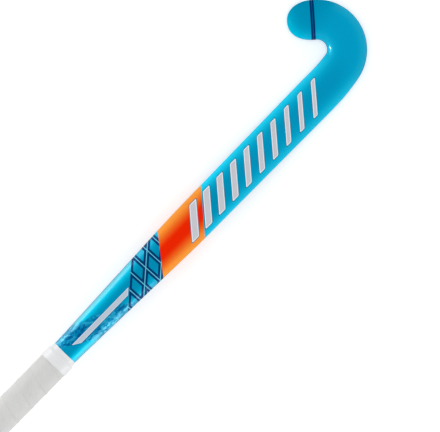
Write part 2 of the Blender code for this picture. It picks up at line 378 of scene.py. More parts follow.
def lay_sheet(
    name: str, rows: Sequence[Row], ends: tuple[SheetEnd, SheetEnd], merge: float = 0.000004
) -> bpy.types.Object:
    """Lay a grid over rows of points that each close on themselves.

    Args:
        name: Name of the piece.
        rows: Each row's points, without the first one again at its end, and their lay, the
            vector that the finish reads as the attribute "lay".
        ends: How the first and the last row are finished.
        merge: Distance under which points become one.

    Returns:
        The piece, active and in object mode.
    """
    closed = np.array([closed_ring(points) for points, _ in rows])
    closed_lay = np.array([closed_ring(lay) for _, lay in rows])
    deselect_everything()
    bpy.ops.mesh.primitive_grid_add(
        x_subdivisions=closed.shape[1] - 1, y_subdivisions=len(rows) - 1, size=1.0, calc_uvs=False
    )
    piece = bpy.context.object
    piece.name = name
    piece.data.name = name
    count = len(piece.data.vertices)
    flat = np.empty(count * 3)
    piece.data.vertices.foreach_get("co", flat)
    order = np.lexsort((flat[0::3].round(GRID_DIGITS), flat[1::3].round(GRID_DIGITS)))
    placed = np.empty((count, 3))
    placed[order] = closed.reshape(-1, 3)
    laid = np.empty((count, 3))
    laid[order] = closed_lay.reshape(-1, 3)
    piece.data.vertices.foreach_set("co", placed.ravel())
    attribute = piece.data.attributes.new(LAY_NAME, "FLOAT_VECTOR", "POINT")
    attribute.data.foreach_set("vector", laid.ravel())
    piece.data.update()
    make_active(piece)
    bpy.ops.object.mode_set(mode="EDIT")
    bpy.ops.mesh.select_all(action="SELECT")
    bpy.ops.mesh.remove_doubles(threshold=merge)
    if SheetEnd.FILLED in ends:
        bpy.ops.mesh.select_all(action="DESELECT")
        bpy.ops.mesh.select_mode(type="EDGE")
        bpy.ops.mesh.select_non_manifold(extend=False, use_wire=False, use_multi_face=False)
        bpy.ops.mesh.fill_holes(sides=0)
        bpy.ops.mesh.select_all(action="SELECT")
    bpy.ops.mesh.normals_make_consistent(inside=False)
    bpy.ops.object.mode_set(mode="OBJECT")
    piece.location = (0.0, 0.0, 0.0)
    return piece


def apply_modifiers(piece: bpy.types.Object) -> None:
    """Apply every modifier of a piece, in order.

    Args:
        piece: The piece.
    """
    make_active(piece)
    for modifier in list(piece.modifiers):
        bpy.ops.object.modifier_apply(modifier=modifier.name)


def set_material(piece: bpy.types.Object, material: bpy.types.Material) -> None:
    """Give a piece one material in place of any that it has.

    Args:
        piece: The piece.
        material: Its new material.
    """
    if not piece.material_slots:
        piece.data.materials.append(material)
    for slot in piece.material_slots:
        slot.material = material


def report(piece: bpy.types.Object, words: str) -> None:
    """Log a finished piece."""
    LOG.info("%s: %d faces, %s", piece.name, len(piece.data.polygons), words)


# Node helpers


def socket_called(sockets: Sequence[bpy.types.NodeSocket], key: str) -> bpy.types.NodeSocket:
    """Socket with this identifier or, failing that, this name."""
    matches = [socket for socket in sockets if socket.identifier == key]
    return matches[0] if matches else sockets[key]


class Wire:
    """Output socket of a node, on which sums are written as on a number."""

    def __init__(self, sheet: "NodeSheet", socket: bpy.types.NodeSocket) -> None:
        """Hold the sheet that the socket belongs to."""
        self.sheet = sheet
        self.socket = socket

    def __add__(self, other: "Wire | float") -> "Wire":
        """Sum."""
        return self.sheet.maths("ADD", self, other)

    __radd__ = __add__

    def __sub__(self, other: "Wire | float") -> "Wire":
        """Difference."""
        return self.sheet.maths("SUBTRACT", self, other)

    def __rsub__(self, other: float) -> "Wire":
        """Difference from a number."""
        return self.sheet.maths("SUBTRACT", other, self)

    def __mul__(self, other: "Wire | float") -> "Wire":
        """Product."""
        return self.sheet.maths("MULTIPLY", self, other)

    __rmul__ = __mul__

    def __truediv__(self, other: "Wire | float") -> "Wire":
        """Quotient."""
        return self.sheet.maths("DIVIDE", self, other)

    def __abs__(self) -> "Wire":
        """Size without its sign."""
        return self.sheet.maths("ABSOLUTE", self)

    def __pow__(self, power: float) -> "Wire":
        """Power."""
        return self.sheet.maths("POWER", self, power)


Term = Wire | float
Tint = Wire | Colour


class NodeSheet:
    """The node tree of one material or world, with the few calls that fill it."""

    def __init__(self, owner: bpy.types.Material | bpy.types.World) -> None:
        """Clear the owner's tree.

        Args:
            owner: Material or world to fill.
        """
        owner.use_nodes = True
        self.owner = owner
        self.tree = owner.node_tree
        self.tree.nodes.clear()

    def add(self, kind: str, values: Mapping[str, Any] | None = None, **settings: Any) -> bpy.types.Node:
        """Add a node.

        Args:
            kind: Type of the node.
            values: Numbers, colours or wires by the name or identifier of its sockets.
            **settings: Its own settings, such as an operation, which are set first. "stops"
                gives a ramp's places and colours.

        Returns:
            The node.
        """
        node = self.tree.nodes.new(kind)
        for key, setting in settings.items():
            if key == "stops":
                self._set_stops(node.color_ramp, setting)
            else:
                setattr(node, key, setting)
        for key, value in (values or {}).items():
            socket = socket_called(node.inputs, key)
            if isinstance(value, Wire):
                self.tree.links.new(value.socket, socket)
            else:
                socket.default_value = value
        return node

    @staticmethod
    def _set_stops(ramp: bpy.types.ColorRamp, stops: Sequence[tuple[float, Sequence[float]]]) -> None:
        """Set a ramp's stops.

        Args:
            ramp: The ramp.
            stops: Place and colour of each stop.
        """
        while len(ramp.elements) < len(stops):
            ramp.elements.new(1.0)
        for element, (place, colour) in zip(ramp.elements, stops):
            element.position = place
            element.color = colour

    def wire(self, node: bpy.types.Node, output: str) -> Wire:
        """One output of a node."""
        return Wire(self, socket_called(node.outputs, output))

    def result(
        self, kind: str, output: str, values: Mapping[str, Any] | None = None, **settings: Any
    ) -> Wire:
        """One output of a new node."""
        return self.wire(self.add(kind, values, **settings), output)

    def maths(self, operation: str, *terms: Term) -> Wire:
        """Math node over its terms."""
        values = dict(zip(("Value", "Value_001"), terms))
        return self.result("ShaderNodeMath", "Value", values, operation=operation)

    def least(self, first: Term, second: Term) -> Wire:
        """Smaller of two."""
        return self.maths("MINIMUM", first, second)

    def most(self, first: Term, second: Term) -> Wire:
        """Larger of two."""
        return self.maths("MAXIMUM", first, second)

    def length(self, first: Wire, second: Wire) -> Wire:
        """Length of the vector with these two parts."""
        return self.maths("SQRT", first * first + second * second)

    def ramp(self, value: Wire, start: float, end: float) -> Wire:
        """Smooth step from 0 at start to 1 at end, which may lie below start."""
        values = {"Value": value, "From Min": start, "From Max": end}
        return self.result("ShaderNodeMapRange", "Result", values, interpolation_type="SMOOTHSTEP")

    def between(self, share: Wire, low: float, high: float) -> Wire:
        """Number that goes from low to high with a share."""
        return share * (high - low) + low

    def inside(self, distance: Wire, soft: float = 0.12) -> Wire:
        """1 where a distance is below zero, with a soft edge."""
        return self.ramp(distance, soft, -soft)

    def blend(self, factor: Term, low: Tint, high: Tint) -> Wire:
        """Colour that goes from low to high with the factor."""
        values = {"Factor_Float": factor, "A_Color": low, "B_Color": high}
        return self.result("ShaderNodeMix", "Result_Color", values, data_type="RGBA")

    def shade(self, colour: Tint, factor: Wire) -> Wire:
        """Colour multiplied by a number on all three channels.

        Args:
            colour: Colour or wire.
            factor: The number.

        Returns:
            The shaded colour.
        """
        channels = {"Red": factor, "Green": factor, "Blue": factor}
        grey = self.result("ShaderNodeCombineColor", "Color", channels)
        values = {"Factor_Float": 1.0, "A_Color": colour, "B_Color": grey}
        settings = {"data_type": "RGBA", "blend_type": "MULTIPLY"}
        return self.result("ShaderNodeMix", "Result_Color", values, **settings)

    def with_parts(self, whole: Wire) -> tuple[Wire, Wire, Wire, Wire]:
        """A vector, whole and as its three parts."""
        parts = self.add("ShaderNodeSeparateXYZ", {"Vector": whole})
        return whole, self.wire(parts, "X"), self.wire(parts, "Y"), self.wire(parts, "Z")

    def object_place(self) -> tuple[Wire, Wire, Wire, Wire]:
        """Object coordinates, whole and as their three parts."""
        return self.with_parts(self.result("ShaderNodeTexCoord", "Object"))

    def lay_place(self) -> tuple[Wire, Wire, Wire, Wire]:
        """The piece's own "lay" attribute, whole and as its three parts."""
        settings = {"attribute_name": LAY_NAME, "attribute_type": "GEOMETRY"}
        return self.with_parts(self.result("ShaderNodeAttribute", "Vector", **settings))

    def vector(self, first: Term, second: Term, third: Term = 0.0) -> Wire:
        """Vector from three parts."""
        return self.result("ShaderNodeCombineXYZ", "Vector", {"X": first, "Y": second, "Z": third})

    def noise(self, place: Wire, scale: float, detail: float = 2.0) -> Wire:
        """Noise around a half, at a scale in waves per unit of the place."""
        values = {"Vector": place, "Scale": scale, "Detail": detail}
        return self.result("ShaderNodeTexNoise", "Fac", values)

    def cells(self, place: Wire, scale: float, feature: str = "F1", output: str = "Distance") -> Wire:
        """Cell pattern: one output of a Voronoi texture."""
        values = {"Vector": place, "Scale": scale}
        return self.result("ShaderNodeTexVoronoi", output, values, feature=feature)

    def cell_number(self, place: Wire, scale: float, channel: str) -> Wire:
        """Number that one cell has to itself, from a channel of its colour."""
        colour = self.cells(place, scale, output="Color")
        return self.result("ShaderNodeSeparateColor", channel, {"Color": colour})

    def bump(self, height: Wire, distance: float, strength: float) -> Wire:
        """Normal bent by a height from 0 to 1 that stands for a distance in metres."""
        values = {"Height": height, "Distance": distance, "Strength": strength}
        return self.result("ShaderNodeBump", "Normal", values)

    def surface(self, values: Mapping[str, Any]) -> None:
        """Close the material with a Principled shader."""
        shader = self.result("ShaderNodeBsdfPrincipled", "BSDF", values)
        self.add("ShaderNodeOutputMaterial", {"Surface": shader})


# Graphics in the lacquer


@dataclass(frozen=True)
class PlanWires:
    """Where a point of the shell is, in millimetres and shares, as wires of one sheet.

    along and aside are the plan in millimetres from the head's end and the shaft's middle,
    toe side up, and height is the height over the floor. side runs across the section from
    -1 at the heel to 1 at the toe, rim is 0 in the middle and 1 at the outline, over is 0
    on the flat face and 1 on the crown, and back is 1 on the rounded back and 0 on the face.

    The graphics below measure in the same millimetres and shares. A field called a fade is
    where a change starts and where it is complete.
    """

    sheet: NodeSheet
    along: Wire
    aside: Wire
    height: Wire
    side: Wire
    rim: Wire
    over: Wire
    back: Wire


@dataclass(frozen=True)
class SlantLine:
    """Line across the shaft, by where it meets the shaft's middle and how far it slants."""

    at: float
    slant: float

    @property
    def square_on(self) -> float:
        """Share of a distance along the shaft that is square to the line."""
        return 1 / math.hypot(1, self.slant)

    def before(self, plan: PlanWires) -> Wire:
        """Distance short of the line, along the shaft."""
        return self.at - (plan.along + self.slant * plan.aside)

    def past(self, plan: PlanWires) -> Wire:
        """Distance past the line, along the shaft."""
        return plan.along + self.slant * plan.aside - self.at


@dataclass(frozen=True)
class CyanFadeAndPaintedLight:
    """Ground colour: a near even cyan on the hook and the flat face, and a fade on the back.

    Down the shaft the back is deep in the middle and bright out at the sides, and towards
    the grip the sides turn pale. The brighter sides are partly a printed fade and partly
    painted side light, a little stronger on the toe side; the pale neck sides are a painted
    sheen, and painted shade darkens the outline of the hook and the neck.
    """

    # The side colours are lighter partly by a printed fade and partly by painted side light.
    hook_middle: Colour = srgb(0, 162, 206)
    hook_side: Colour = srgb(0, 184, 222)
    # Painted shade along the hook's outline.
    hook_rim_shade: Colour = srgb(0, 142, 180)
    toe: Colour = srgb(0, 148, 190)
    blade_middle: Colour = srgb(0, 153, 197)
    blade_side_fade_and_light: Colour = srgb(0, 220, 255)
    neck_middle: Colour = srgb(0, 154, 198)
    neck_bright: Colour = srgb(0, 206, 240)
    # Pale painted sheen on the neck's sides.
    neck_side_sheen: Colour = srgb(112, 208, 226)
    # Painted shade along the neck's outline.
    neck_rim_shade: Colour = srgb(0, 132, 168)
    face_middle: Colour = srgb(0, 170, 208)
    face_side: Colour = srgb(0, 182, 218)
    toe_fade: Pair = (40.0, 74.0)
    blade_fade: Pair = (30.0, 78.0)
    neck_fade: Pair = (330.0, 400.0)
    bright_fade: Pair = (0.22, 0.78)
    side_fade: Pair = (0.66, 0.96)
    edge_fade: Pair = (0.93, 1.0)
    # By this lean the painted side light is a little stronger on the toe side.
    lean: float = 0.07
    power: float = 2.7

    def paint(self, plan: PlanWires) -> Wire:
        """Ground colour of the whole shell, with its painted side light, sheen and outline shade.

        Args:
            plan: Where the point is.

        Returns:
            The colour.
        """
        sheet = plan.sheet
        # Sides lighter than the middle, the toe side more so: partly a printed fade, partly painted side
        # light.
        leaning = plan.rim + plan.side * self.lean
        out = leaning ** self.power
        # Painted shade along the outline, which covers the side walls too.
        edge = sheet.ramp(plan.rim, *self.edge_fade)
        hook = sheet.blend(out, self.hook_middle, self.hook_side)
        hook = sheet.blend(sheet.ramp(plan.aside, *self.toe_fade), hook, self.toe)
        hook = sheet.blend(edge, hook, self.hook_rim_shade)
        blade = sheet.blend(out, self.blade_middle, self.blade_side_fade_and_light)
        bright = sheet.ramp(leaning, *self.bright_fade)
        neck = sheet.blend(bright, self.neck_middle, self.neck_bright)
        # Out at the sides of the neck, a pale painted sheen.
        neck = sheet.blend(sheet.ramp(leaning, *self.side_fade), neck, self.neck_side_sheen)
        neck = sheet.blend(edge, neck, self.neck_rim_shade)
        on_back = sheet.blend(sheet.ramp(plan.along, *self.blade_fade), hook, blade)
        on_back = sheet.blend(sheet.ramp(plan.along, *self.neck_fade), on_back, neck)
        # The flat face's lighter sides are partly painted side light as well.
        on_face = sheet.blend(out, self.face_middle, self.face_side)
        return sheet.blend(plan.back, on_face, on_back)


class Layer(ABC):
    """Printed layer that covers a part of the ground."""

    @abstractmethod
    def paint(self, plan: PlanWires, ground: Wire) -> tuple[Wire, Wire]:
        """Lay the layer over the ground.

        Args:
            plan: Where the point is.
            ground: Colour below.

        Returns:
            The new colour and the layer's mask.
        """


@dataclass(frozen=True)
class OrangeBand(Layer):
    """Slanted orange band across the throat, redder down the middle."""

    start: SlantLine = SlantLine(at=278.0, slant=0.87)
    end: SlantLine = SlantLine(at=346.0, slant=0.80)
    # The side colours are lighter partly by a printed fade and partly by painted side light.
    back_middle: Colour = srgb(250, 40, 0)
    back_side: Colour = srgb(255, 164, 56)
    face_middle: Colour = srgb(252, 82, 8)
    face_side: Colour = srgb(255, 132, 36)
    side_fade: Pair = (0.15, 1.05)

    def paint(self, plan: PlanWires, ground: Wire) -> tuple[Wire, Wire]:
        """Lay the band over the ground.

        Args:
            plan: Where the point is.
            ground: Colour below.

        Returns:
            The new colour and the band's mask.
        """
        sheet = plan.sheet
        mask = sheet.inside(sheet.most(self.start.before(plan), self.end.past(plan)))
        # Yellower out at the sides: partly a printed fade, partly painted side light.
        out = sheet.ramp(plan.rim, *self.side_fade)
        on_back = sheet.blend(out, self.back_middle, self.back_side)
        on_face = sheet.blend(out, self.face_middle, self.face_side)
        return sheet.blend(mask, ground, sheet.blend(plan.back, on_face, on_back)), mask


@dataclass(frozen=True)
class SilverInk:
    """Silver print with a pale rim inside its edge and a dark outline round it."""

    silver: Colour
    rim_colour: Colour
    outline_colour: Colour
    rim: float
    outline: float

    def fill(self, distance: Wire, ground: Wire) -> tuple[Wire, Wire]:
        """Fill a shape.

        Args:
            distance: Distance from the shape's edge, below zero inside it.
            ground: Colour below.

        Returns:
            The new colour and the shape's mask.
        """
        sheet = distance.sheet
        colour = sheet.blend(sheet.inside(distance - self.outline), ground, self.outline_colour)
        mask = sheet.inside(distance)
        colour = sheet.blend(mask, colour, self.rim_colour)
        return sheet.blend(sheet.inside(distance + self.rim), colour, self.silver), mask


@dataclass(frozen=True)
class SlantedBars(Layer):
    """Row of slanted silver bars with round corners, each a little broader than the last."""

    last: SlantLine = SlantLine(at=292.0, slant=0.87)
    pitch: float = 21.5
    count: int = 10
    last_width: float = 11.0
    loss: float = 0.5
    half_height: float = 16.0
    corner: float = 1.2
    ink: SilverInk = SilverInk(
        silver=srgb(206, 206, 214),
        rim_colour=srgb(238, 244, 248),
        outline_colour=srgb(0, 118, 150),
        rim=1.0,
        outline=0.7,
    )

    def paint(self, plan: PlanWires, ground: Wire) -> tuple[Wire, Wire]:
        """Lay the bars over the ground.

        Args:
            plan: Where the point is.
            ground: Colour below.

        Returns:
            The new colour and the bars' mask.
        """
        sheet = plan.sheet
        from_last = self.last.before(plan)
        number = sheet.maths("ROUND", from_last / self.pitch)
        number = sheet.least(sheet.most(number, 0.0), float(self.count - 1))
        half_width = (self.last_width - self.loss * number) / 2
        from_side = (abs(from_last - number * self.pitch) - half_width) * self.last.square_on
        across = from_side + self.corner
        up = abs(plan.aside) - self.half_height + self.corner
        past_corner = sheet.length(sheet.most(across, 0.0), sheet.most(up, 0.0))
        within = sheet.least(sheet.most(across, up), 0.0)
        return self.ink.fill(past_corner + within - self.corner, ground)


@dataclass(frozen=True)
class DiamondTrellis(Layer):
    """Navy trellis of diamonds, with a hairline down each of its bars."""

    band: OrangeBand = OrangeBand()
    slanted: SlantLine = SlantLine(at=370.1, slant=1.17)
    slanted_pitch: float = 26.4
    crossing: SlantLine = SlantLine(at=367.6, slant=-0.04)
    crossing_pitch: float = 15.4
    hairline: float = 0.5
    frame: float = 3.1
    trim: float = 0.8
    navy: Colour = srgb(0, 62, 116)
    hairline_colour: Colour = srgb(104, 204, 230)
    cell: Colour = srgb(0, 146, 190)
    cell_cover: float = 0.45

    def paint(self, plan: PlanWires, ground: Wire) -> tuple[Wire, Wire]:
        """Lay the trellis over the ground, from the band's end to its own last slanted line.

        Args:
            plan: Where the point is.
            ground: Colour below.

        Returns:
            The new colour and the trellis's mask.
        """
        sheet = plan.sheet
        to_slanted = self._to_nearest(plan, self.slanted, self.slanted_pitch)
        to_crossing = self._to_nearest(plan, self.crossing, self.crossing_pitch)
        distance = sheet.least(to_slanted, to_crossing)
        past_last = self.slanted.past(plan) - (self.slanted_pitch - self.trim)
        mask = sheet.inside(sheet.most(past_last, self.band.end.before(plan)))
        cell = sheet.blend(self.cell_cover, ground, self.cell)
        colour = sheet.blend(sheet.inside(distance - self.frame), cell, self.navy)
        colour = sheet.blend(sheet.inside(distance - self.hairline), colour, self.hairline_colour)
        return sheet.blend(mask, ground, colour), mask

    @staticmethod
    def _to_nearest(plan: PlanWires, line: SlantLine, pitch: float) -> Wire:
        """Distance to the nearest of the lines that repeat this one at a pitch."""
        past = line.past(plan)
        return abs(past - plan.sheet.maths("ROUND", past / pitch) * pitch) * line.square_on


@dataclass(frozen=True)
class SilverFlash(Layer):
    """Long narrow silver flash along the shaft, cut off at a slant at each end."""

    lower: float = -5.4
    upper: float = 0.5
    start: SlantLine = SlantLine(at=397.6, slant=1.17)
    end: SlantLine = SlantLine(at=487.4, slant=-1.6)
    ink: SilverInk = SilverInk(
        silver=srgb(188, 200, 214),
        rim_colour=srgb(216, 238, 246),
        outline_colour=srgb(0, 92, 140),
        rim=0.55,
        outline=0.45,
    )

    def paint(self, plan: PlanWires, ground: Wire) -> tuple[Wire, Wire]:
        """Lay the flash over the ground.

        Args:
            plan: Where the point is.
            ground: Colour below.

        Returns:
            The new colour and the flash's mask.
        """
        sheet = plan.sheet
        across = sheet.most(plan.aside - self.upper, self.lower - plan.aside)
        start = self.start.before(plan) * self.start.square_on
        end = self.end.past(plan) * self.end.square_on
        return self.ink.fill(sheet.most(across, sheet.most(start, end)), ground)


@dataclass(frozen=True)
class IcePatch(Layer):
    """Cracked ice in darker blues that crosses the shaft under the flash.

    The shards are the cells of a pattern that is squeezed across the shaft, slanted and
    jagged. Scales are in cells or waves per millimetre.
    """

    start: SlantLine = SlantLine(at=436.0, slant=-2.3)
    start_fade: Pair = (7.0, -7.0)
    wander: float = 18.0
    wander_scale: float = 0.11
    end: SlantLine = SlantLine(at=487.4, slant=-1.6)
    end_soft: float = 0.3
    shard_scale: float = 0.25
    lean: float = 0.55
    cross_lean: float = -0.3
    squeeze: float = 1.7
    jag: float = 3.0
    jag_scale: float = 0.35
    cloud_scale: float = 0.06
    cloud_fade: Pair = (0.3, 0.7)
    shard_share: float = 0.6
    cloud_share: float = 0.48
    slope_share: float = 0.45
    slope_middle: float = 0.4
    deep: Colour = srgb(0, 84, 144)
    mid: Colour = srgb(0, 128, 184)
    pale: Colour = srgb(40, 172, 212)
    # Colour of the painted highlights on the shards out at the sides.
    painted_glint: Colour = srgb(140, 222, 240)
    deep_levels: Pair = (0.0, 0.38)
    mid_levels: Pair = (0.48, 0.68)
    pale_levels: Pair = (0.86, 1.0)
    crack_fade: Pair = (0.07, 0.015)
    crack_share: float = 0.6
    side_fade: Pair = (0.5, 0.82)
    painted_glint_fade: Pair = (0.35, 0.70)
    painted_glint_share: float = 0.6
    cover: float = 0.9
    side_thinning: float = 0.3

    def paint(self, plan: PlanWires, ground: Wire) -> tuple[Wire, Wire]:
        """Lay the patch over the ground, with painted highlights on its shards and a thinner cover out
        at the sides.

        Args:
            plan: Where the point is.
            ground: Colour below.

        Returns:
            The new colour and the patch's mask.
        """
        sheet = plan.sheet
        solid = sheet.vector(plan.along, plan.aside, plan.height)
        wander = (sheet.noise(solid, self.wander_scale, detail=3.0) - 0.5) * self.wander
        mask = sheet.ramp(self.start.before(plan) + wander, *self.start_fade)
        mask = mask * sheet.inside(self.end.past(plan), self.end_soft)
        colour, tone = self._shards(plan, solid)
        # Out at the sides: painted highlights on the shards, and a thinner cover so the ground's painted
        # side light shows through.
        out = sheet.ramp(plan.rim, *self.side_fade)
        painted_glints = out * sheet.ramp(tone, *self.painted_glint_fade) * self.painted_glint_share
        colour = sheet.blend(painted_glints, colour, self.painted_glint)
        cover = self.cover - out * self.side_thinning
        return sheet.blend(mask * cover, ground, colour), mask

    def _shards(self, plan: PlanWires, solid: Wire) -> tuple[Wire, Wire]:
        """Shards, each of one blue, with dark cracks between them.

        Args:
            plan: Where the point is.
            solid: The point in millimetres, as a vector.

        Returns:
            The colour, and a number from 0 to 1 that each shard has to itself.
        """
        sheet = plan.sheet
        jag = (sheet.noise(solid, self.jag_scale) - 0.5) * self.jag
        along = plan.along + self.lean * plan.aside + jag
        across = (plan.aside + self.cross_lean * plan.along) * self.squeeze - jag
        place = sheet.vector(along, across, plan.height * self.squeeze)
        tone = sheet.cell_number(place, self.shard_scale, "Red")
        slope = sheet.cells(place, self.shard_scale) - self.slope_middle
        to_crack = sheet.cells(place, self.shard_scale, feature="DISTANCE_TO_EDGE")
        cloud = sheet.ramp(sheet.noise(solid, self.cloud_scale), *self.cloud_fade)
        level = tone * self.shard_share + cloud * self.cloud_share + slope * self.slope_share
        stops = [(at, self.deep) for at in self.deep_levels]
        stops += [(at, self.mid) for at in self.mid_levels]
        stops += [(at, self.pale) for at in self.pale_levels]
        shards = sheet.result("ShaderNodeValToRGB", "Color", {"Fac": level}, stops=stops)
        crack = sheet.ramp(to_crack, *self.crack_fade) * self.crack_share
        return sheet.blend(crack, shards, self.deep), tone


@dataclass(frozen=True)
class ToeLine(Layer):
    """Navy line across the toe, on the rounded back alone, with a fine pale line in it."""

    first: Pair = (21.7, 79.5)
    second: Pair = (49.9, 48.3)
    half_width: float = 2.4
    pale_half_width: float = 0.35
    ends_at: float = 38.0
    back_fade: Pair = (0.24, 0.28)
    navy: Colour = srgb(0, 48, 104)
    pale: Colour = srgb(0, 104, 156)

    def paint(self, plan: PlanWires, ground: Wire) -> tuple[Wire, Wire]:
        """Lay the line over the ground.

        Args:
            plan: Where the point is.
            ground: Colour below.

        Returns:
            The new colour and the line's mask.
        """
        sheet = plan.sheet
        run = (self.second[0] - self.first[0], self.second[1] - self.first[1])
        long = math.hypot(*run)
        normal = (-run[1] / long, run[0] / long)
        along = plan.along - self.first[0]
        aside = plan.aside - self.first[1]
        distance = abs(along * normal[0] + aside * normal[1])
        on_back = sheet.ramp(plan.over, *self.back_fade)
        in_reach = sheet.inside(self.ends_at - plan.aside)
        mask = sheet.inside(distance - self.half_width) * on_back * in_reach
        colour = sheet.blend(sheet.inside(distance - self.pale_half_width), self.navy, self.pale)
        return sheet.blend(mask, ground, colour), mask


# Finishes


class Finish(ABC):
    """Finish of a piece, as a procedural material."""

    name: ClassVar[str]

    def make(self) -> bpy.types.Material:
        """Build the material.

        Returns:
            The material.
        """
        sheet = NodeSheet(bpy.data.materials.new(self.name))
        sheet.surface(self.inputs(sheet))
        return sheet.owner

    @abstractmethod
    def inputs(self, sheet: NodeSheet) -> dict[str, Any]:
        """Inputs of the Principled shader.

        Args:
            sheet: Node sheet of the material.

        Returns:
            Numbers, colours and wires by the name of the input.
        """


@dataclass(frozen=True)
class LacquerFinish(Finish):
    """Printed, pearl-flaked blue lacquer under a clear coat, with side light, sheen and shade painted
    into its colour.

    Silver print has neither pearl nor the lacquer's smoothness, the orange band has less
    pearl, and the toe is all but matt.
    """

    name: ClassVar[str] = "lacquered_laminate"
    form: StickForm
    fade: CyanFadeAndPaintedLight = CyanFadeAndPaintedLight()
    ice: IcePatch = IcePatch()
    trellis: DiamondTrellis = DiamondTrellis()
    flash: SilverFlash = SilverFlash()
    band: OrangeBand = OrangeBand()
    bars: SlantedBars = SlantedBars()
    toe_line: ToeLine = ToeLine()
    back_fade: Pair = (0.18, 0.42)
    flake_scale: float = 2600.0
    flake_shade: float = 0.10
    flake_roughness: float = 0.08
    pearl: float = 0.22
    pearl_fade: Pair = (190.0, 275.0)
    hook_pearl: float = 0.08
    band_pearl: float = 0.6
    gloss: float = 0.22
    toe_fade: Pair = (50.0, 64.0)
    toe_fall: float = 0.95
    toe_roughness: float = 0.3
    roughness: float = 0.36
    silver_roughness: float = 0.12
    peel_scale: float = 420.0
    peel_height: float = 0.1
    print_height: float = 0.9
    trellis_height: float = 0.5

    def inputs(self, sheet: NodeSheet) -> dict[str, Any]:
        """Shader inputs of the printed lacquer.

        Args:
            sheet: Node sheet of the material.

        Returns:
            Numbers, colours and wires by the name of the input.
        """
        whole, x, y, z = sheet.object_place()
        _, side, rim, over = sheet.lay_place()
        along = (self.form.middle_along - x) / MM
        aside = (y + self.form.middle_across) / MM
        back = sheet.ramp(over, *self.back_fade)
        plan = PlanWires(sheet, along, aside, z / MM, side, rim, over, back)
        # Ground colour, with painted side light, painted sheen and painted shade along the outline.
        colour = self.fade.paint(plan)
        colour, _ = self.ice.paint(plan, colour)
        colour, trellis = self.trellis.paint(plan, colour)
        colour, flash = self.flash.paint(plan, colour)
        colour, band = self.band.paint(plan, colour)
        colour, bars = self.bars.paint(plan, colour)
        colour, line = self.toe_line.paint(plan, colour)
        flake = sheet.cell_number(whole, self.flake_scale, "Green")
        silver = sheet.most(bars, flash)
        toe = sheet.ramp(aside, *self.toe_fade)
        kept = 1 - toe * self.toe_fall
        pearly = sheet.ramp(along, *self.pearl_fade) * (1 - self.hook_pearl) + self.hook_pearl
        pearly = pearly * (1 - silver) * (1 - band * (1 - self.band_pearl))
        roughness = flake * self.flake_roughness + self.roughness
        printed = sheet.most(sheet.most(silver, line), trellis * self.trellis_height)
        height = sheet.noise(whole, self.peel_scale) * self.peel_height + printed * self.print_height
        return {
            "Base Color": sheet.shade(colour, flake * self.flake_shade + (1 - self.flake_shade / 2)),
            "Metallic": pearly * kept * self.pearl,
            "Roughness": roughness + silver * self.silver_roughness + toe * self.toe_roughness,
            "Specular IOR Level": 0.0,
            "Coat Weight": kept * self.gloss,
            "Coat Roughness": 0.08,
            "Coat IOR": 1.45,
            "Normal": sheet.bump(height, distance=0.00004, strength=0.35),
        }


@dataclass(frozen=True)
class CushionedTapeFinish(Finish):
    """Soft white grip tape: fine pebbled skin with staggered rows of small holes."""

    name: ClassVar[str] = "cushioned_tape"
    white: Colour = srgb(214, 214, 213)
    shadow: Colour = srgb(168, 168, 166)
    hole_pitch: float = 2.4
    hole_radius: float = 0.32
    hole_floor: float = 0.176
    hole_shade: float = 0.75
    cloud_fade: Pair = (0.25, 0.75)
    cloud_shade: float = 0.14
    hole_depth: float = 0.8
    pebble_height: float = 0.35

    def inputs(self, sheet: NodeSheet) -> dict[str, Any]:
        """Shader inputs of the tape, whose lay runs in millimetres along and across it.

        Args:
            sheet: Node sheet of the material.

        Returns:
            Numbers, colours and wires by the name of the input.
        """
        lay, run, across, _ = sheet.lay_place()
        row_pitch = self.hole_pitch / 2
        row = sheet.maths("ROUND", across / row_pitch)
        odd = sheet.maths("PINGPONG", row, 1.0)
        shifted = run / self.hole_pitch + odd * 0.5
        from_hole = abs(shifted - sheet.maths("ROUND", shifted)) * self.hole_pitch
        from_row = abs(across - row * row_pitch)
        hole = sheet.ramp(sheet.length(from_hole, from_row), self.hole_radius, self.hole_floor)
        pebble = sheet.cells(lay, scale=1.7, feature="SMOOTH_F1")
        cloud = sheet.ramp(sheet.noise(lay, scale=0.09, detail=3.0), *self.cloud_fade)
        colour = sheet.blend(cloud * self.cloud_shade, self.white, self.shadow)
        height = (1 - hole) * self.hole_depth + pebble * self.pebble_height
        return {
            "Base Color": sheet.blend(hole * self.hole_shade, colour, self.shadow),
            "Roughness": sheet.between(pebble, low=0.62, high=0.74),
            "Specular IOR Level": 0.35,
            "Sheen Weight": 0.12,
            "Sheen Roughness": 0.5,
            "Normal": sheet.bump(height, distance=0.0002, strength=0.6),
        }


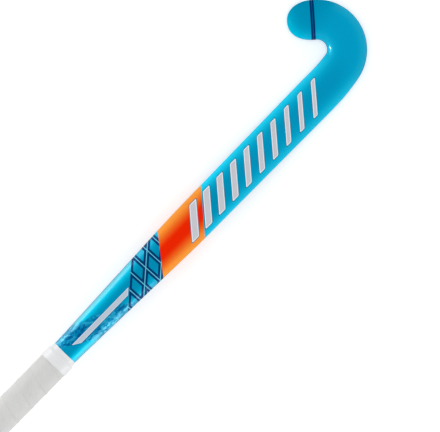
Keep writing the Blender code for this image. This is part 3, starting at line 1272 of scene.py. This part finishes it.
@dataclass(frozen=True)
class VinylTapeFinish(Finish):
    """Thin white vinyl tape with the fine stretch lines of a tape pulled tight."""

    name: ClassVar[str] = "vinyl_tape"
    white: Colour = srgb(232, 233, 234)
    grey: Colour = srgb(210, 212, 214)
    stretch_along: float = 0.05
    stretch_across: float = 1.6
    streak_fade: Pair = (0.35, 0.7)
    streak_shade: float = 0.5
    streak_height: float = 0.7

    def inputs(self, sheet: NodeSheet) -> dict[str, Any]:
        """Shader inputs of the vinyl, whose lay runs in millimetres along and across it.

        Args:
            sheet: Node sheet of the material.

        Returns:
            Numbers, colours and wires by the name of the input.
        """
        _, run, across, _ = sheet.lay_place()
        stretched = sheet.vector(run * self.stretch_along, across * self.stretch_across)
        streak = sheet.noise(stretched, scale=1.0, detail=3.0)
        weave = sheet.noise(sheet.vector(run, across), scale=3.2, detail=1.0)
        shade = sheet.ramp(streak, *self.streak_fade) * self.streak_shade
        height = streak * self.streak_height + weave * (1 - self.streak_height)
        return {
            "Base Color": sheet.blend(shade, self.white, self.grey),
            "Roughness": sheet.between(streak, low=0.30, high=0.46),
            "Specular IOR Level": 0.5,
            "Normal": sheet.bump(height, distance=0.00005, strength=0.5),
        }


@dataclass(frozen=True)
class WhiteRubberFinish(Finish):
    """Moulded white rubber with a fine matt grain."""

    name: ClassVar[str] = "white_rubber"
    white: Colour = srgb(216, 216, 214)
    grey: Colour = srgb(184, 184, 181)
    cloud_fade: Pair = (0.3, 0.8)
    cloud_shade: float = 0.12
    grain_shade: float = 0.1

    def inputs(self, sheet: NodeSheet) -> dict[str, Any]:
        """Shader inputs of the rubber.

        Args:
            sheet: Node sheet of the material.

        Returns:
            Numbers, colours and wires by the name of the input.
        """
        whole, _, _, _ = sheet.object_place()
        grain = sheet.noise(whole, scale=1900.0)
        cloud = sheet.ramp(sheet.noise(whole, scale=90.0, detail=3.0), *self.cloud_fade)
        shade = cloud * self.cloud_shade + grain * self.grain_shade
        return {
            "Base Color": sheet.blend(shade, self.white, self.grey),
            "Roughness": sheet.between(grain, low=0.52, high=0.68),
            "Specular IOR Level": 0.4,
            "Normal": sheet.bump(grain, distance=0.00006, strength=0.45),
        }


@dataclass(frozen=True)
class RigidFoamFinish(Finish):
    """Pale closed-cell foam of the head's core."""

    name: ClassVar[str] = "rigid_foam"
    pale: Colour = srgb(214, 196, 150)
    dark: Colour = srgb(168, 146, 98)
    cell_fade: Pair = (0.2, 0.9)
    cell_shade: float = 0.7
    cloud_shade: float = 0.2

    def inputs(self, sheet: NodeSheet) -> dict[str, Any]:
        """Shader inputs of the foam.

        Args:
            sheet: Node sheet of the material.

        Returns:
            Numbers, colours and wires by the name of the input.
        """
        whole, _, _, _ = sheet.object_place()
        cell = sheet.cells(whole, scale=1100.0)
        cloud = sheet.noise(whole, scale=60.0, detail=3.0)
        shade = sheet.ramp(cell, *self.cell_fade) * self.cell_shade + cloud * self.cloud_shade
        return {
            "Base Color": sheet.blend(shade, self.pale, self.dark),
            "Roughness": sheet.between(cell, low=0.86, high=0.96),
            "Specular IOR Level": 0.3,
            "Normal": sheet.bump(cell, distance=0.0003, strength=0.5),
        }


@dataclass(frozen=True)
class CarbonTubeFinish(Finish):
    """Twill of carbon tows under a thin film of resin, which runs the other way on each tube."""

    side: TubeSide
    tow: float = 0.002
    dark: Colour = srgb(20, 21, 24)
    light: Colour = srgb(54, 57, 63)
    strand_length: float = 300.0
    strand_pitch: float = 6000.0
    strand_shade: float = 0.3
    strand_height: float = 0.4

    @property
    def name(self) -> str:
        """Name of the material."""
        return f"carbon_{self.side.name.lower()}_side"

    def inputs(self, sheet: NodeSheet) -> dict[str, Any]:
        """Shader inputs of the twill.

        Args:
            sheet: Node sheet of the material.

        Returns:
            Numbers, colours and wires by the name of the input.
        """
        _, x, y, z = sheet.object_place()
        lean = 1.0 if self.side is TubeSide.TOE else -1.0
        steps = sheet.maths("FLOOR", x / self.tow) + sheet.maths("FLOOR", (y + z) * (lean / self.tow))
        twill = sheet.maths("PINGPONG", steps * 0.5, 1.0)
        strand = sheet.vector(x * self.strand_length, (y + z) * self.strand_pitch)
        strand = sheet.noise(strand, scale=1.0)
        shade = twill * (1 - self.strand_shade) + strand * self.strand_shade
        height = twill * (1 - self.strand_height) + strand * self.strand_height
        return {
            "Base Color": sheet.blend(shade, self.dark, self.light),
            "Roughness": sheet.between(strand, low=0.34, high=0.54),
            "Coat Weight": 0.6,
            "Coat Roughness": 0.12,
            "Normal": sheet.bump(height, distance=0.0001, strength=0.4),
        }


@dataclass(frozen=True)
class MouldedPlugFinish(Finish):
    """Natural moulded nylon with faint flow marks along it."""

    name: ClassVar[str] = "moulded_plug"
    pale: Colour = srgb(196, 192, 180)
    dark: Colour = srgb(168, 163, 150)
    flow_along: float = 40.0
    flow_across: float = 260.0
    flow_fade: Pair = (0.3, 0.7)
    flow_height: float = 0.4

    def inputs(self, sheet: NodeSheet) -> dict[str, Any]:
        """Shader inputs of the nylon.

        Args:
            sheet: Node sheet of the material.

        Returns:
            Numbers, colours and wires by the name of the input.
        """
        whole, x, y, z = sheet.object_place()
        place = sheet.vector(x * self.flow_along, y * self.flow_across, z * self.flow_across)
        flow = sheet.noise(place, scale=1.0, detail=3.0)
        grain = sheet.noise(whole, scale=2400.0, detail=1.0)
        height = grain * (1 - self.flow_height) + flow * self.flow_height
        return {
            "Base Color": sheet.blend(sheet.ramp(flow, *self.flow_fade), self.pale, self.dark),
            "Roughness": sheet.between(grain, low=0.48, high=0.62),
            "Normal": sheet.bump(height, distance=0.00008, strength=0.4),
        }


@dataclass(frozen=True)
class StudioFloorFinish(Finish):
    """Pale matt floor that glows to white where it is seen, and keeps the shadow."""

    name: ClassVar[str] = "studio_floor"
    pale: Colour = (0.80, 0.80, 0.80, 1.0)
    dark: Colour = (0.0, 0.0, 0.0, 1.0)
    glow: Colour = (0.40, 0.40, 0.40, 1.0)

    def inputs(self, sheet: NodeSheet) -> dict[str, Any]:
        """Shader inputs of the floor.

        Args:
            sheet: Node sheet of the material.

        Returns:
            Numbers, colours and wires by the name of the input.
        """
        whole, _, _, _ = sheet.object_place()
        path = sheet.add("ShaderNodeLightPath")
        seen = sheet.wire(path, "Is Camera Ray")
        for ray in ("Is Transmission Ray", "Is Glossy Ray"):
            seen = sheet.most(seen, sheet.wire(path, ray))
        return {
            "Base Color": self.pale,
            "Roughness": sheet.between(sheet.noise(whole, scale=3.0), low=0.92, high=0.97),
            "Specular IOR Level": 0.0,
            "Emission Color": sheet.blend(seen, self.dark, self.glow),
            "Emission Strength": 1.0,
        }


# Sub-assemblies


class SubAssembly(ABC):
    """Dressed piece that stands in for one solid of the frame.

    Its edges that turn by more than sharp, in degrees, are shaded as edges.
    """

    stands_for: ClassVar[str]
    slot: ClassVar[str]
    sharp: ClassVar[float]

    @abstractmethod
    def build(self) -> bpy.types.Object:
        """Model the piece.

        Returns:
            The piece, at the origin, with its modifiers applied.
        """

    @abstractmethod
    def finish(self) -> Finish:
        """Finish of the piece."""

    def dress(self, piece: bpy.types.Object) -> None:
        """Shade the piece, finish it and put it in the frame.

        Args:
            piece: The piece.
        """
        make_active(piece)
        bpy.ops.object.shade_smooth_by_angle(angle=math.radians(self.sharp))
        set_material(piece, self.finish().make())
        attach(piece, ROOT)
        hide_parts(self.stands_for)
        report(piece, f"rides on {ROOT}, for {self.stands_for}")


@dataclass
class LacqueredShell(SubAssembly):
    """Moulded laminate: hooked head, bowed shaft and handle in one hollow shell."""

    stands_for: ClassVar[str] = "composite_shell"
    slot: ClassVar[str] = "lacquered_laminate"
    sharp: ClassVar[float] = 40.0
    form: StickForm
    wall: float = 0.0026
    end_at: float = 0.9237
    counts: RingCounts = RingCounts()
    toe_rows: int = 26
    hook_spacing: float = 0.0016
    heel_spacing: float = 0.0030
    shaft_spacing: float = 0.0045
    handle_spacing: float = 0.0120

    def build(self) -> bpy.types.Object:
        """Lay up the shell from the tip of the toe to its open butt.

        Returns:
            The shell, hollow.
        """
        rows = self._toe() + self._hook_to_butt()
        shell = lay_sheet("lacquered_shell", rows, (SheetEnd.POLE, SheetEnd.OPEN))
        wall = shell.modifiers.new("Wall", "SOLIDIFY")
        wall.thickness = self.wall
        wall.offset = -1.0
        apply_modifiers(shell)
        return shell

    def finish(self) -> Finish:
        """Printed lacquer."""
        return LacquerFinish(self.form)

    def _toe(self) -> list[Row]:
        """Rows from the tip of the toe to the hook.

        Returns:
            The rows, with side, rim and over as their lay.
        """
        form = self.form
        power = form.toe_fullness
        rows = []
        for row in range(self.toe_rows, 0, -1):
            share = min(math.sin(math.pi / 2 * row / self.toe_rows), 1.0)
            ring = form.toe_section(share).ring(self.counts)
            side = ring[:, 0] / (form.hook_width / 2)
            rim = np.minimum((share ** power + np.abs(side) ** power) ** (1 / power), 1.0)
            points = form.place(ring, form.toe_at - form.toe_length * share)
            rows.append((points, np.column_stack([side, rim, ring[:, 1] / form.blade_depth])))
        return rows

    def _hook_to_butt(self) -> list[Row]:
        """Rows from the end of the hook to the butt.

        Returns:
            The rows, with side, rim and over as their lay.
        """
        form = self.form
        runs = [
            (form.toe_at, form.hook_at, self.hook_spacing),
            (form.hook_at, form.heel_at, self.heel_spacing),
            (form.heel_at, form.neck_at + form.depth_ease, self.shaft_spacing),
            (form.neck_at + form.depth_ease, self.end_at, self.handle_spacing),
        ]
        reaches = []
        for start, end, spacing in runs:
            count = max(round((end - start) / spacing), 1)
            reaches.extend(np.linspace(start, end, count, endpoint=False))
        rows = []
        for reach in [*reaches, self.end_at]:
            section = form.section(reach)
            ring = section.ring(self.counts)
            side = ring[:, 0] / section.half
            lay = np.column_stack([side, np.abs(side), ring[:, 1] / section.top])
            rows.append((form.place(ring, reach), lay))
        return rows


class HandleSkin:
    """Surface of the handle, sampled evenly round it, on which tapes are wound."""

    rows: ClassVar[int] = 60
    fine: ClassVar[RingCounts] = RingCounts(flat=40, edge=40, back=120)

    def __init__(self, form: StickForm, start: float, end: float, around: int) -> None:
        """Sample the surface.

        Args:
            form: Form of the stick.
            start: Reach of the first sample.
            end: Reach of the last sample.
            around: Samples round one turn.
        """
        self.around = around
        self.reaches = np.linspace(start, end, self.rows)
        base = []
        out = []
        for reach in self.reaches:
            level = form.place(form.section(reach).ring(self.fine), reach)
            raised = form.place(form.section(reach, MM).ring(self.fine), reach)
            places = self._even_places(level)
            base.append(self._at_places(level, places))
            out.append((self._at_places(raised, places) - base[-1]) / MM)
        self.base = np.array(base)
        self.out = np.array(out)
        steps = np.diff(closed_ring(self.base[0]), axis=0)
        self.girth = float(np.linalg.norm(steps, axis=1).sum())

    def _even_places(self, ring: np.ndarray) -> np.ndarray:
        """Even places round a ring.

        Args:
            ring: Points of the ring.

        Returns:
            The places, as fractions of an index.
        """
        closed = closed_ring(ring)
        travelled = np.concatenate([[0.0], np.cumsum(np.linalg.norm(np.diff(closed, axis=0), axis=1))])
        wanted = travelled[-1] * np.arange(self.around) / self.around
        return np.interp(wanted, travelled, np.arange(len(closed)))

    @staticmethod
    def _at_places(ring: np.ndarray, places: np.ndarray) -> np.ndarray:
        """Points of a ring at fractional places.

        Args:
            ring: Points of the ring.
            places: The places, as fractions of an index.

        Returns:
            The points.
        """
        closed = closed_ring(ring)
        index = np.arange(len(closed))
        return np.column_stack([np.interp(places, index, closed[:, axis]) for axis in range(3)])

    def points(self, reach: np.ndarray, step: int, lift: np.ndarray) -> np.ndarray:
        """Points over the handle.

        Args:
            reach: Reach of each point.
            step: Step round the handle, which may run past a whole turn.
            lift: Height of each point over the surface.

        Returns:
            The points in the object's frame.
        """
        share = (reach - self.reaches[0]) / (self.reaches[1] - self.reaches[0])
        low = np.clip(np.floor(share).astype(int), 0, self.rows - 2)
        share = (share - low)[:, None]
        column = step % self.around
        base = self.base[low, column] * (1 - share) + self.base[low + 1, column] * share
        out = self.out[low, column] * (1 - share) + self.out[low + 1, column] * share
        return base + out * lift[:, None]

    def row(self, low: float, reach: np.ndarray, step: int, lift: np.ndarray, outer: np.ndarray) -> Row:
        """Row of tape whose lower edge is at low: its lay is run and breadth in mm, and outer."""
        run = np.full(len(reach), self.girth * step / self.around / MM)
        return self.points(reach, step, lift), np.column_stack([run, (reach - low) / MM, outer])


@dataclass
class WoundGrip(SubAssembly):
    """Cushioned tape wound up the handle in laps that cover each other's thin edges.

    Places are shares of the tape's width. They run over the outer skin and back under the
    inner one, and lie closest where the skin bends.
    """

    stands_for: ClassVar[str] = "grip_tape"
    slot: ClassVar[str] = "cushioned_tape"
    sharp: ClassVar[float] = 50.0
    form: StickForm
    start_at: float = 0.5069
    end_at: float = 0.9157
    margin: float = 0.002
    pitch: float = 0.0228
    overlap: float = 0.0018
    thickness: float = 0.0017
    thin_edge: float = 0.0006
    least: float = 0.00025
    feather: float = 0.0046
    bed: float = 0.0002
    lap_gap: float = 0.00004
    crest: float = 0.0002
    fall: float = 0.0004
    fall_reach: float = 0.0016
    tail: float = 0.0008
    around: int = 64
    lower_places: tuple[float, ...] = (0.0, 0.02, 0.05, 0.09, 0.14, 0.2, 0.35, 0.5)
    upper_places: tuple[float, ...] = (0.65, 0.8, 0.87, 0.92, 0.955, 0.98, 1.0)
    inner_places: tuple[float, ...] = (1.0, 0.96, 0.925, 0.89, 0.5, 0.1, 0.0)

    def build(self) -> bpy.types.Object:
        """Wind the tape from the neck to the butt, as one strip.

        Returns:
            The grip.
        """
        start, end = self.start_at - self.margin, self.end_at + self.margin
        skin = HandleSkin(self.form, start, end, self.around)
        width = self.pitch + self.overlap
        first = -math.floor(self.around * (width - self.tail) / self.pitch)
        last = math.floor(self.around * (self.end_at - self.start_at - self.tail) / self.pitch)
        outer_places = self.lower_places + self.upper_places
        places = np.array(outer_places + self.inner_places)
        outer = np.arange(len(places)) < len(outer_places)
        rows = []
        for step in range(first, last + 1):
            low = self.start_at + self.pitch * step / self.around
            high = low + width
            shown_low, shown_high = max(low, self.start_at), min(high, self.end_at)
            reach = shown_low + (shown_high - shown_low) * places
            top, bottom = self._levels(reach - low, high - reach)
            rows.append(skin.row(low, reach, step, np.where(outer, top, bottom), outer))
        return lay_sheet("wound_grip", rows, (SheetEnd.FILLED, SheetEnd.FILLED))

    def finish(self) -> Finish:
        """Cushioned tape."""
        return CushionedTapeFinish()

    def _levels(self, from_low: np.ndarray, from_high: np.ndarray) -> tuple[np.ndarray, np.ndarray]:
        """Heights of the tape's outer and inner skin over the handle.

        Args:
            from_low: Distance from the lap's lower edge, which lies under the next lap.
            from_high: Distance from its upper edge, which lies on the lap above.

        Returns:
            The outer and the inner heights.
        """
        on_lap = from_high < self.overlap
        bottom = np.where(on_lap, self._feathered(self.overlap - from_high) + self.lap_gap, self.bed)
        drop = np.clip(1 - from_high / self.fall_reach, 0, 1) ** 2
        crest = self.bed + self.thickness + self.crest - self.fall * drop
        top = np.where(from_high < self.overlap * 2, crest, self._feathered(from_low))
        return np.maximum(top, bottom + self.least), bottom

    def _feathered(self, from_edge: np.ndarray) -> np.ndarray:
        """Height of the outer skin as it rises from the thin lower edge to the full tape."""
        rise = 1 - np.clip(1 - from_edge / self.feather, 0, 1) ** 2
        return self.bed + self.thin_edge + (self.thickness - self.thin_edge) * rise


@dataclass
class FinishingBand(SubAssembly):
    """Vinyl tape, two turns and a bit, that steps from the bare shaft over the grip.

    At the step it puckers: small folds round the handle, in groups of uneven height.
    """

    stands_for: ClassVar[str] = "finishing_tape"
    slot: ClassVar[str] = "vinyl_tape"
    sharp: ClassVar[float] = 50.0
    form: StickForm
    start_at: float = 0.5000
    width: float = 0.0190
    foot_at: float = 0.5050
    grip_at: float = 0.5074
    shaft_level: float = 0.00006
    grip_level: float = 0.00206
    thickness: float = 0.00015
    lap_gap: float = 0.00002
    turns: float = 2.2
    around: int = 96
    columns: int = 18
    pucker: float = 0.00009
    pucker_reach: float = 0.0016
    pucker_folds: int = 17
    pucker_groups: int = 3
    pucker_turn: float = 0.7

    def build(self) -> bpy.types.Object:
        """Wind the band on itself.

        Returns:
            The band.
        """
        ends_at = self.start_at + self.width
        skin = HandleSkin(self.form, self.start_at - MM, ends_at + MM, self.around)
        places = np.concatenate([np.linspace(0, 1, self.columns), np.linspace(1, 0, self.columns)])
        outer = np.repeat([1, 0], self.columns)
        reach = self.start_at + self.width * places
        rows = []
        for step in range(round(self.turns * self.around) + 1):
            turn = step / self.around
            lap = (self.thickness + self.lap_gap) * turn
            lift = self._level(reach, turn) + lap + outer * self.thickness
            rows.append(skin.row(self.start_at, reach, step, lift, outer))
        return lay_sheet("finishing_band", rows, (SheetEnd.FILLED, SheetEnd.FILLED))

    def finish(self) -> Finish:
        """Vinyl tape."""
        return VinylTapeFinish()

    def _level(self, reach: np.ndarray, turn: float) -> np.ndarray:
        """Height of the surface that the tape lies on, with the puckers at its step.

        Args:
            reach: Reach of each point.
            turn: Turns that the tape has made.

        Returns:
            The heights.
        """
        share = np.clip((reach - self.foot_at) / (self.grip_at - self.foot_at), 0, 1)
        step = share * share * (3 - 2 * share)
        close = np.exp(-((reach - self.foot_at) / self.pucker_reach) ** 2)
        angle = 2 * math.pi * turn
        folds = math.sin(self.pucker_folds * angle)
        ripple = (1 + folds * math.sin(self.pucker_groups * angle + self.pucker_turn)) / 2
        rise = (self.grip_level - self.shaft_level) * step
        return self.shaft_level + rise + self.pucker * ripple * close


@dataclass
class ButtCap(SubAssembly):
    """Rubber cap over the butt: a grooved skirt, a rounded shoulder and a sunk end panel.

    Its profile gives a reach, a lift over the handle's surface and a share of the
    section's size. The panel's edge is a list of shares past the panel's own and depths.
    """

    stands_for: ClassVar[str] = "butt_cap"
    slot: ClassVar[str] = "white_rubber"
    sharp: ClassVar[float] = 45.0
    form: StickForm
    skirt: float = 0.0110
    end: float = 0.0030
    inside: float = 0.0003
    outside: float = 0.0024
    lip: float = 0.0005
    edge_hold: float = 0.0004
    shoulder: float = 0.0017
    groove: float = 0.0006
    groove_at: float = 0.0030
    groove_half: float = 0.0008
    panel: float = 0.0010
    panel_share: float = 0.74
    panel_edge: tuple[Pair, ...] = ((0.12, 0.0), (0.05, 0.0), (0.03, 0.1), (0.01, 0.85), (-0.01, 1.0))
    floor_shares: tuple[float, ...] = (0.0, 0.5, 0.97, 1.0)
    panel_shares: tuple[float, ...] = (0.5, 0.25, 0.0)
    steps: int = 9
    merge: float = 0.00001
    counts: RingCounts = RingCounts(flat=16, edge=12, back=56)

    def build(self) -> bpy.types.Object:
        """Run the cap's profile round the handle's section.

        Returns:
            The cap.
        """
        rows = []
        for reach, lift, share in self._socket() + self._skirt() + self._end():
            section = self.form.section(reach, lift)
            ring = section.ring(self.counts)
            middle = np.array([0.0, (section.top - lift) / 2])
            points = self.form.place(middle + (ring - middle) * share, reach)
            rows.append((points, np.full_like(points, share)))
        return lay_sheet("rubber_cap", rows, (SheetEnd.POLE, SheetEnd.POLE), self.merge)

    def finish(self) -> Finish:
        """White rubber."""
        return WhiteRubberFinish()

    def _socket(self) -> Profile:
        """Profile from the middle of the socket's floor to its mouth.

        Returns:
            The profile.
        """
        floor = self.form.length - self.end
        mouth = self.form.length - self.skirt
        profile = [(floor, self.inside, share) for share in self.floor_shares]
        profile.append((floor - self.edge_hold, self.inside, 1.0))
        profile.append((mouth + self.edge_hold, self.inside, 1.0))
        return profile

    def _skirt(self) -> Profile:
        """Profile round the lip and down the skirt, with its groove.

        Returns:
            The profile.
        """
        mouth = self.form.length - self.skirt
        middle = (self.inside + self.outside) / 2
        half = (self.outside - self.inside) / 2
        profile = []
        for angle in np.linspace(0, math.pi, self.steps):
            run = self.lip * (1 - math.sin(angle))
            profile.append((mouth + run, middle - half * math.cos(angle), 1.0))
        for angle in np.linspace(-math.pi, math.pi, self.steps):
            run = self.groove_at + self.groove_half * angle / math.pi
            depth = self.groove * (1 + math.cos(angle)) / 2
            profile.append((mouth + run, self.outside - depth, 1.0))
        return profile

    def _end(self) -> Profile:
        """Profile over the shoulder and the panel's edge to the middle of the panel.

        Returns:
            The profile.
        """
        tip = self.form.length
        level = self.outside - self.shoulder
        profile = []
        for angle in np.linspace(0, math.pi / 2, self.steps):
            drop = self.shoulder * (1 - math.cos(angle))
            profile.append((tip - self.shoulder * (1 - math.sin(angle)), self.outside - drop, 1.0))
        for past, depth in self.panel_edge:
            profile.append((tip - self.panel * depth, level, self.panel_share + past))
        profile += [(tip - self.panel, level, share) for share in self.panel_shares]
        return profile


@dataclass
class InnerParts:
    """Core, tubes and plug: solids of the frame that keep their shape inside the shell."""

    nodes: Mapping[str, bpy.types.Object]

    def dress(self) -> None:
        """Give each solid its own finish."""
        finishes: dict[str, Finish] = {"head_core": RigidFoamFinish()}
        finishes.update({side.value: CarbonTubeFinish(side) for side in TubeSide})
        finishes["butt_plug"] = MouldedPlugFinish()
        for name, finish in finishes.items():
            set_material(self.nodes[name], finish.make())
            report(self.nodes[name], "kept from the frame")


# Studio


@dataclass(frozen=True)
class Lamp:
    """Rectangular area lamp.

    Its size is its length along the stick and its height. In gloss, it shows in coats and
    metal, and on matt, it lights what is neither.
    """

    name: str
    place: Point
    aim: Point
    size: Pair
    watts: float
    spread: float = math.pi
    in_gloss: bool = True
    on_matt: bool = True

    def hang(self) -> None:
        """Put the lamp in the scene, facing its aim."""
        data = bpy.data.lights.new(self.name, "AREA")
        data.shape = "RECTANGLE"
        data.size, data.size_y = self.size
        data.energy = self.watts
        data.spread = self.spread
        lamp = bpy.data.objects.new(self.name, data)
        bpy.context.scene.collection.objects.link(lamp)
        lamp.visible_glossy = self.in_gloss
        lamp.visible_diffuse = self.on_matt
        back = np.array(self.place) - np.array(self.aim)
        back /= np.linalg.norm(back)
        up = np.cross(back, (1.0, 0.0, 0.0))
        up /= np.linalg.norm(up)
        turned = np.eye(4)
        turned[:3] = np.column_stack([np.cross(up, back), up, back, self.place])
        lamp.matrix_world = Matrix(turned.tolist())


OVERHEAD = Lamp(
    name="overhead",
    place=(0.0, 0.0, 3.6),
    aim=(0.0, 0.0, 0.0),
    size=(5.0, 5.0),
    watts=91.0,
    in_gloss=False,
)
TOE_SIDE_STRIP = Lamp(
    name="toe_side_strip",
    place=(-0.22, 0.95, 0.22),
    aim=(-0.22, 0.0, 0.0),
    size=(0.55, 0.40),
    watts=0.24,
    spread=math.radians(38.0),
)
HEEL_SIDE_STRIP = Lamp(
    name="heel_side_strip",
    place=(-0.22, -0.95, 0.22),
    aim=(-0.22, 0.0, 0.0),
    size=(0.55, 0.40),
    watts=0.18,
    spread=math.radians(38.0),
)
CROOK_LAMP = Lamp(
    name="crook_lamp",
    place=(0.2138, 0.2156, 0.0400),
    aim=(0.4165, -0.0056, 0.0200),
    size=(0.1773, 0.0251),
    watts=0.55,
    spread=math.radians(64.0),
    on_matt=False,
)


@dataclass
class Studio:
    """Pale floor, soft light, a strip along each side of the handle and a gloss at the crook."""

    lamps: tuple[Lamp, ...] = (OVERHEAD, TOE_SIDE_STRIP, HEEL_SIDE_STRIP, CROOK_LAMP)
    floor_size: float = 60.0
    floor_drop: float = 0.0001
    view_middle: Point = (0.1956, -0.0497, 0.0200)
    view_turn: float = math.radians(-45.63)
    view_width: float = 0.4963
    view_height: float = 6.0
    view_reach: float = 100.0
    sensor: float = 36.0
    zenith: float = 0.05
    horizon: float = 1.0
    zenith_fade: Pair = (0.35, 0.92)

    def build(self) -> None:
        """Set the whole studio up."""
        self._floor()
        self._world()
        for lamp in self.lamps:
            lamp.hang()
        self._camera()
        bpy.context.scene.view_settings.view_transform = "Standard"

    def _floor(self) -> None:
        """Wide pale floor under the stick."""
        deselect_everything()
        bpy.ops.mesh.primitive_plane_add(size=self.floor_size, location=(0.0, 0.0, -self.floor_drop))
        floor = bpy.context.object
        floor.name = "studio_floor"
        set_material(floor, StudioFloorFinish().make())

    def _world(self) -> None:
        """White world that is dimmer overhead, so that gloss keeps its colour."""
        world = bpy.data.worlds.new("studio")
        bpy.context.scene.world = world
        sheet = NodeSheet(world)
        direction = sheet.result("ShaderNodeTexCoord", "Generated")
        up = sheet.result("ShaderNodeSeparateXYZ", "Z", {"Vector": direction})
        strength = self.horizon - sheet.ramp(up, *self.zenith_fade) * (self.horizon - self.zenith)
        white = {"Color": (1.0, 1.0, 1.0, 1.0), "Strength": strength}
        glow = sheet.result("ShaderNodeBackground", "Background", white)
        sheet.add("ShaderNodeOutputWorld", {"Surface": glow})

    def _camera(self) -> None:
        """Camera straight above, with the stick turned in the frame as pictured."""
        data = bpy.data.cameras.new("picture")
        data.sensor_fit = "HORIZONTAL"
        data.sensor_width = self.sensor
        data.lens = self.sensor * self.view_height / self.view_width
        data.clip_end = self.view_reach
        camera = bpy.data.objects.new("picture", data)
        bpy.context.scene.collection.objects.link(camera)
        x, y, z = self.view_middle
        camera.location = (x, y, z + self.view_height)
        camera.rotation_euler = (0.0, 0.0, self.view_turn)
        bpy.context.scene.camera = camera


def main() -> None:
    """Build every sub-assembly in order."""
    logging.basicConfig(level=logging.INFO, format="%(message)s")
    form = StickForm()
    for sub_assembly in (LacqueredShell(form), WoundGrip(form), FinishingBand(form), ButtCap(form)):
        sub_assembly.dress(sub_assembly.build())
    InnerParts(frame["nodes"]).dress()
    Studio().build()


if __name__ == "__main__":
    main()
